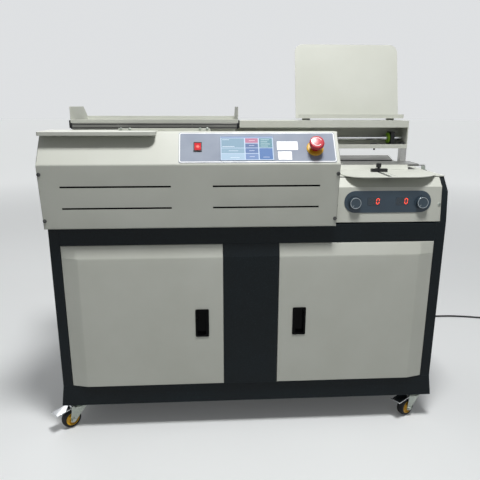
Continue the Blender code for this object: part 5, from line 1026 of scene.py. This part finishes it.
# The ramp is a line of (y, z) points carried along X, and each mark is inked from (x0, y0) to (x1, y1)
def makeTableDetails(left, right, top, rampFront, rampBack, rampTop, sheet, slotX, slotHalf, lip, front, slotFront,
                     slotBack, shadeSheetLow, shadeSheetHigh, lines, ink):
    ramp = np.array([(rampFront, top + 0.0011), (rampFront + 0.006, top + 0.0013),
                     (rampBack - 0.002, rampTop - 0.0004), (rampBack, rampTop)])
    makePiece("cover_table_ramp", sweptShape(np.linspace(left, right, 3), ramp), "lightPowderCoat", closed=False,
              outward=(0, -0.5, 1), wall=sheet)
    # Painted shade: a near-black sheet under the slot, so that the slot reads dark
    makePiece("slot_shade_sheet", boxShape((slotX - 0.012, slotFront - 0.004, shadeSheetLow),
                                     (slotX + 0.012, slotBack + 0.004, shadeSheetHigh), 0.00005), "filterFelt")
    # Painted shade: black strips, lip wide, along both sides of the slot and one from the table's front edge to the
    # slot
    stripOut = slotHalf + lip
    shadeStrips = [(slotX - stripOut, slotFront - 0.0010, slotX - slotHalf, rampFront + 0.002),
            (slotX + slotHalf, slotFront - 0.0010, slotX + stripOut, rampFront + 0.002),
            (slotX - stripOut, front, slotX + stripOut, slotFront)]
    scale = [(x - 0.0005, 0.004, x + 0.0005, 0.096) for x in lines]
    for name, marks, slot in (("slot_shade_strips", shadeStrips, "black_plastic"), ("table_scale_lines", scale, "light_grey")):
        makePiece(name, [boxShape((x0, y0, top - 0.00002), (x1, y1, top + ink), 0.00002) for x0, y0, x1, y1 in marks],
                  "printInk")


makeTableDetails(**tableSpec)

# Fittings that are plain boxes, as (look, slot, chamfer, boxes): a bar over the table's back edge, its bracket, a lip
# on the rear jaw, and switches on the beam's lower flange with screws below it
fittings = {
    "nip_guide_bar": ("blackOxideSteel", "steel", 0.0004, [((0.2400, 0.1822, 0.8338), (0.5955, 0.1852, 0.8366))]),
    "nip_bar_bracket": ("zincPlate", None, 0.0004, [((0.5830, 0.1792, 0.8195), (0.5965, 0.1818, 0.8334)),
                                                    ((0.5830, 0.1650, 0.8195), (0.5965, 0.1795, 0.8215))]),
    "nip_rear_lip": ("blackNylon", None, 0.0003, [((0.2380, 0.2990, 0.8200), (0.5245, 0.3004, 0.8405))]),
    "limit_switches": ("blackNylon", None, 0.0004, [((0.4715, 0.3680, 0.8793), (0.4935, 0.3920, 0.8930)),
                                                    ((0.5095, 0.3680, 0.8793), (0.5265, 0.3920, 0.8920)),
                                                    ((0.5740, 0.3680, 0.8793), (0.5925, 0.3920, 0.8965))])}
for name, (look, slot, soft, boxes) in fittings.items():
    makePiece(name, [boxShape(low, high, soft) for low, high in boxes], look)
makeScrews("beam_screws", hexHead(0.0038, 0.0075),
           [((x, 0.385, 0.8762), (0, 0, -1)) for x in (0.4855, 0.5830, 0.5935)], "blackNylon")

# Casters: a crowned tread on a yellow nylon wheel; turns are the forks' directions about the vertical
casterSpec = {"x": 0.565, "y": 0.036, "trail": 0.032, "radius": 0.0315, "half": 0.012, "crown": 0.0030,
              "boltX": 0.024, "boltY": 0.022, "boltZ": 0.0860,
              "web": ((0.0044, 0.0138), (0.0085, 0.0138), (0.0092, 0.0130), (0.0100, 0.0085), (0.0120, 0.0072),
                      (0.0180, 0.0072), (0.0196, 0.0092), (0.0200, 0.0112), (0.0222, 0.0112)),
              "turns": {"front_left": 221, "front_right": 210, "rear_left": 160, "rear_right": 20}}


# Where a caster's swivel axis stands, by its name
def casterSpot(name, spec):
    return (spec["x"] if "right" in name else -spec["x"],
            spec["y"] if "front" in name else cabinetDepth - spec["y"])


# Tread: r = radius - crown |t|^2.6 across the width, t from -1 to 1
def makeWheel(name, spec):
    r, h = spec["radius"], spec["half"]
    place = (at((*casterSpot(name, spec), 0), spin=math.radians(spec["turns"][name]))
             @ at((spec["trail"], 0, r), (0, 1, 0)))
    t = np.linspace(-1, 1, 15)
    flank = np.array([(0.0222, 0.0010 - h), (0.0235, -h), (0.0265, -h)])
    tread = np.vstack([flank, np.column_stack([r - spec["crown"] * np.abs(t) ** 2.6, t * (h - 0.0006)]),
                       flank[::-1] * [1, -1]])
    web = np.array(spec["web"])
    for part, look, profile, steps in (("_tyre", "treadRubber", tread, 72),
                                       ("_hub", "yellowNylon", np.vstack([web, web[::-1] * [1, -1]]), 60)):
        makePiece(name + part, moved(turnedShape(profile, steps, closed=True), place), look, name + "_wheel",
                  replaces=name + "_wheel" if part == "_tyre" else ())


bolts = []
for name in casterSpec["turns"]:
    makeWheel(name, casterSpec)
    x, y = casterSpot(name, casterSpec)
    bolts += [((x + dx * casterSpec["boltX"], y + dy * casterSpec["boltY"], casterSpec["boltZ"]), (0, 0, -1))
              for dx in (-1, 1) for dy in (-1, 1)]
makeScrews("caster_bolts", hexHead(0.0055, 0.0036), bolts, "zincPlate")
print("casters made")

# Studio: a pale floor that fades into a pale world, one hard key overhead that casts the shadows, two weak lamps
studioSpec = {"seenTone": "#eceeee", "bounceTone": "#a9abaa", "cloudTone": (0.94, 0.94, 0.94, 1), "roughness": 0.8,
              "worldTone": "#eef0f2", "worldSeen": 0.86, "worldLight": 0.22, "floorRadius": 40.0, "nearGlow": 0.06,
              "farGlow": 0.61, "fadeFrom": 0.9, "fadeTo": 6.0, "aim": (0, 0.2, 0.6),
              "lamps": {"key": (74, 0.6, (0.20, -0.74, 3.20)), "fill": (4, 2.4, (0.5, -2.8, 1.6)),
                        "back": (12, 1.8, (-1.2, 1.9, 2.4))}}


# 1 for rays from the camera, off gloss and through glass, 0 for the light that falls on things
def seenRays(tree):
    seen = addNode(tree, "LightPath", {}, "Is Camera Ray")
    for kind in ("Is Glossy Ray", "Is Transmission Ray"):
        seen = addNode(tree, "Math", {"operation": "MAXIMUM", 0: seen, 1: addNode(tree, "LightPath", {}, kind)})
    return seen


# The floor's rings stand at radius x share^2, and its glow rises from nearGlow to farGlow between the fade radii
def makeStudio(spec):
    r = np.linspace(0, 1, 9) ** 2 * spec["floorRadius"]
    points, faces = turnedShape(np.column_stack([r, 0 * r]), 64)
    mesh = bpy.data.meshes.new("studioFloor")
    mesh.from_pydata((points + home).tolist(), [], faces[:, ::-1].tolist())
    mesh.shade_smooth()
    tree, shader, coords = startMaterial("paintedFloor")
    seen = seenRays(tree)
    cloud = addNode(tree, "TexNoise", {"Scale": 1.5, "Detail": 2.0, "Vector": coords})
    tone = addNode(tree, "Mix", {"data_type": "RGBA", 0: seen, 6: spec["bounceTone"], 7: spec["seenTone"]}, 2)
    tone = addNode(tree, "Mix", {"data_type": "RGBA", "blend_type": "MULTIPLY", 0: cloud, 6: tone,
                                 7: spec["cloudTone"]}, 2)
    away = addNode(tree, "VectorMath", {"operation": "LENGTH", 0: coords}, "Value")
    far = addNode(tree, "MapRange", {"From Min": spec["fadeFrom"], "From Max": spec["fadeTo"],
                                     "To Min": spec["nearGlow"], "To Max": spec["farGlow"], "Value": away})
    glow = addNode(tree, "Math", {"operation": "MULTIPLY", 0: far, 1: seen})
    setInputs(tree, shader, {"Base Color": tone, "Roughness": spec["roughness"], "Emission Strength": glow,
                             "Emission Color": spec["seenTone"]})
    mesh.materials.append(looks["paintedFloor"])
    floor = bpy.data.objects.new("studioFloor", mesh)
    bpy.context.scene.collection.objects.link(floor)
    for name, (power, size, place) in spec["lamps"].items():
        lamp = bpy.data.lights.new(name, "AREA")
        lamp.energy, lamp.size = power, size
        holder = bpy.data.objects.new(name, lamp)
        spot, aim = Vector(place) + Vector(home), Vector(home) + Vector(spec["aim"])
        holder.matrix_world = Matrix.Translation(spot) @ (spot - aim).to_track_quat("Z", "Y").to_matrix().to_4x4()
        bpy.context.scene.collection.objects.link(holder)
    world = bpy.data.worlds.new("studioWorld")
    world.use_nodes = True
    tree = world.node_tree
    strength = addNode(tree, "MapRange", {"To Min": spec["worldLight"], "To Max": spec["worldSeen"],
                                          "Value": seenRays(tree)})
    setInputs(tree, tree.nodes["Background"], {"Color": spec["worldTone"], "Strength": strength})
    bpy.context.scene.world = world


makeStudio(studioSpec)
print("scene made")
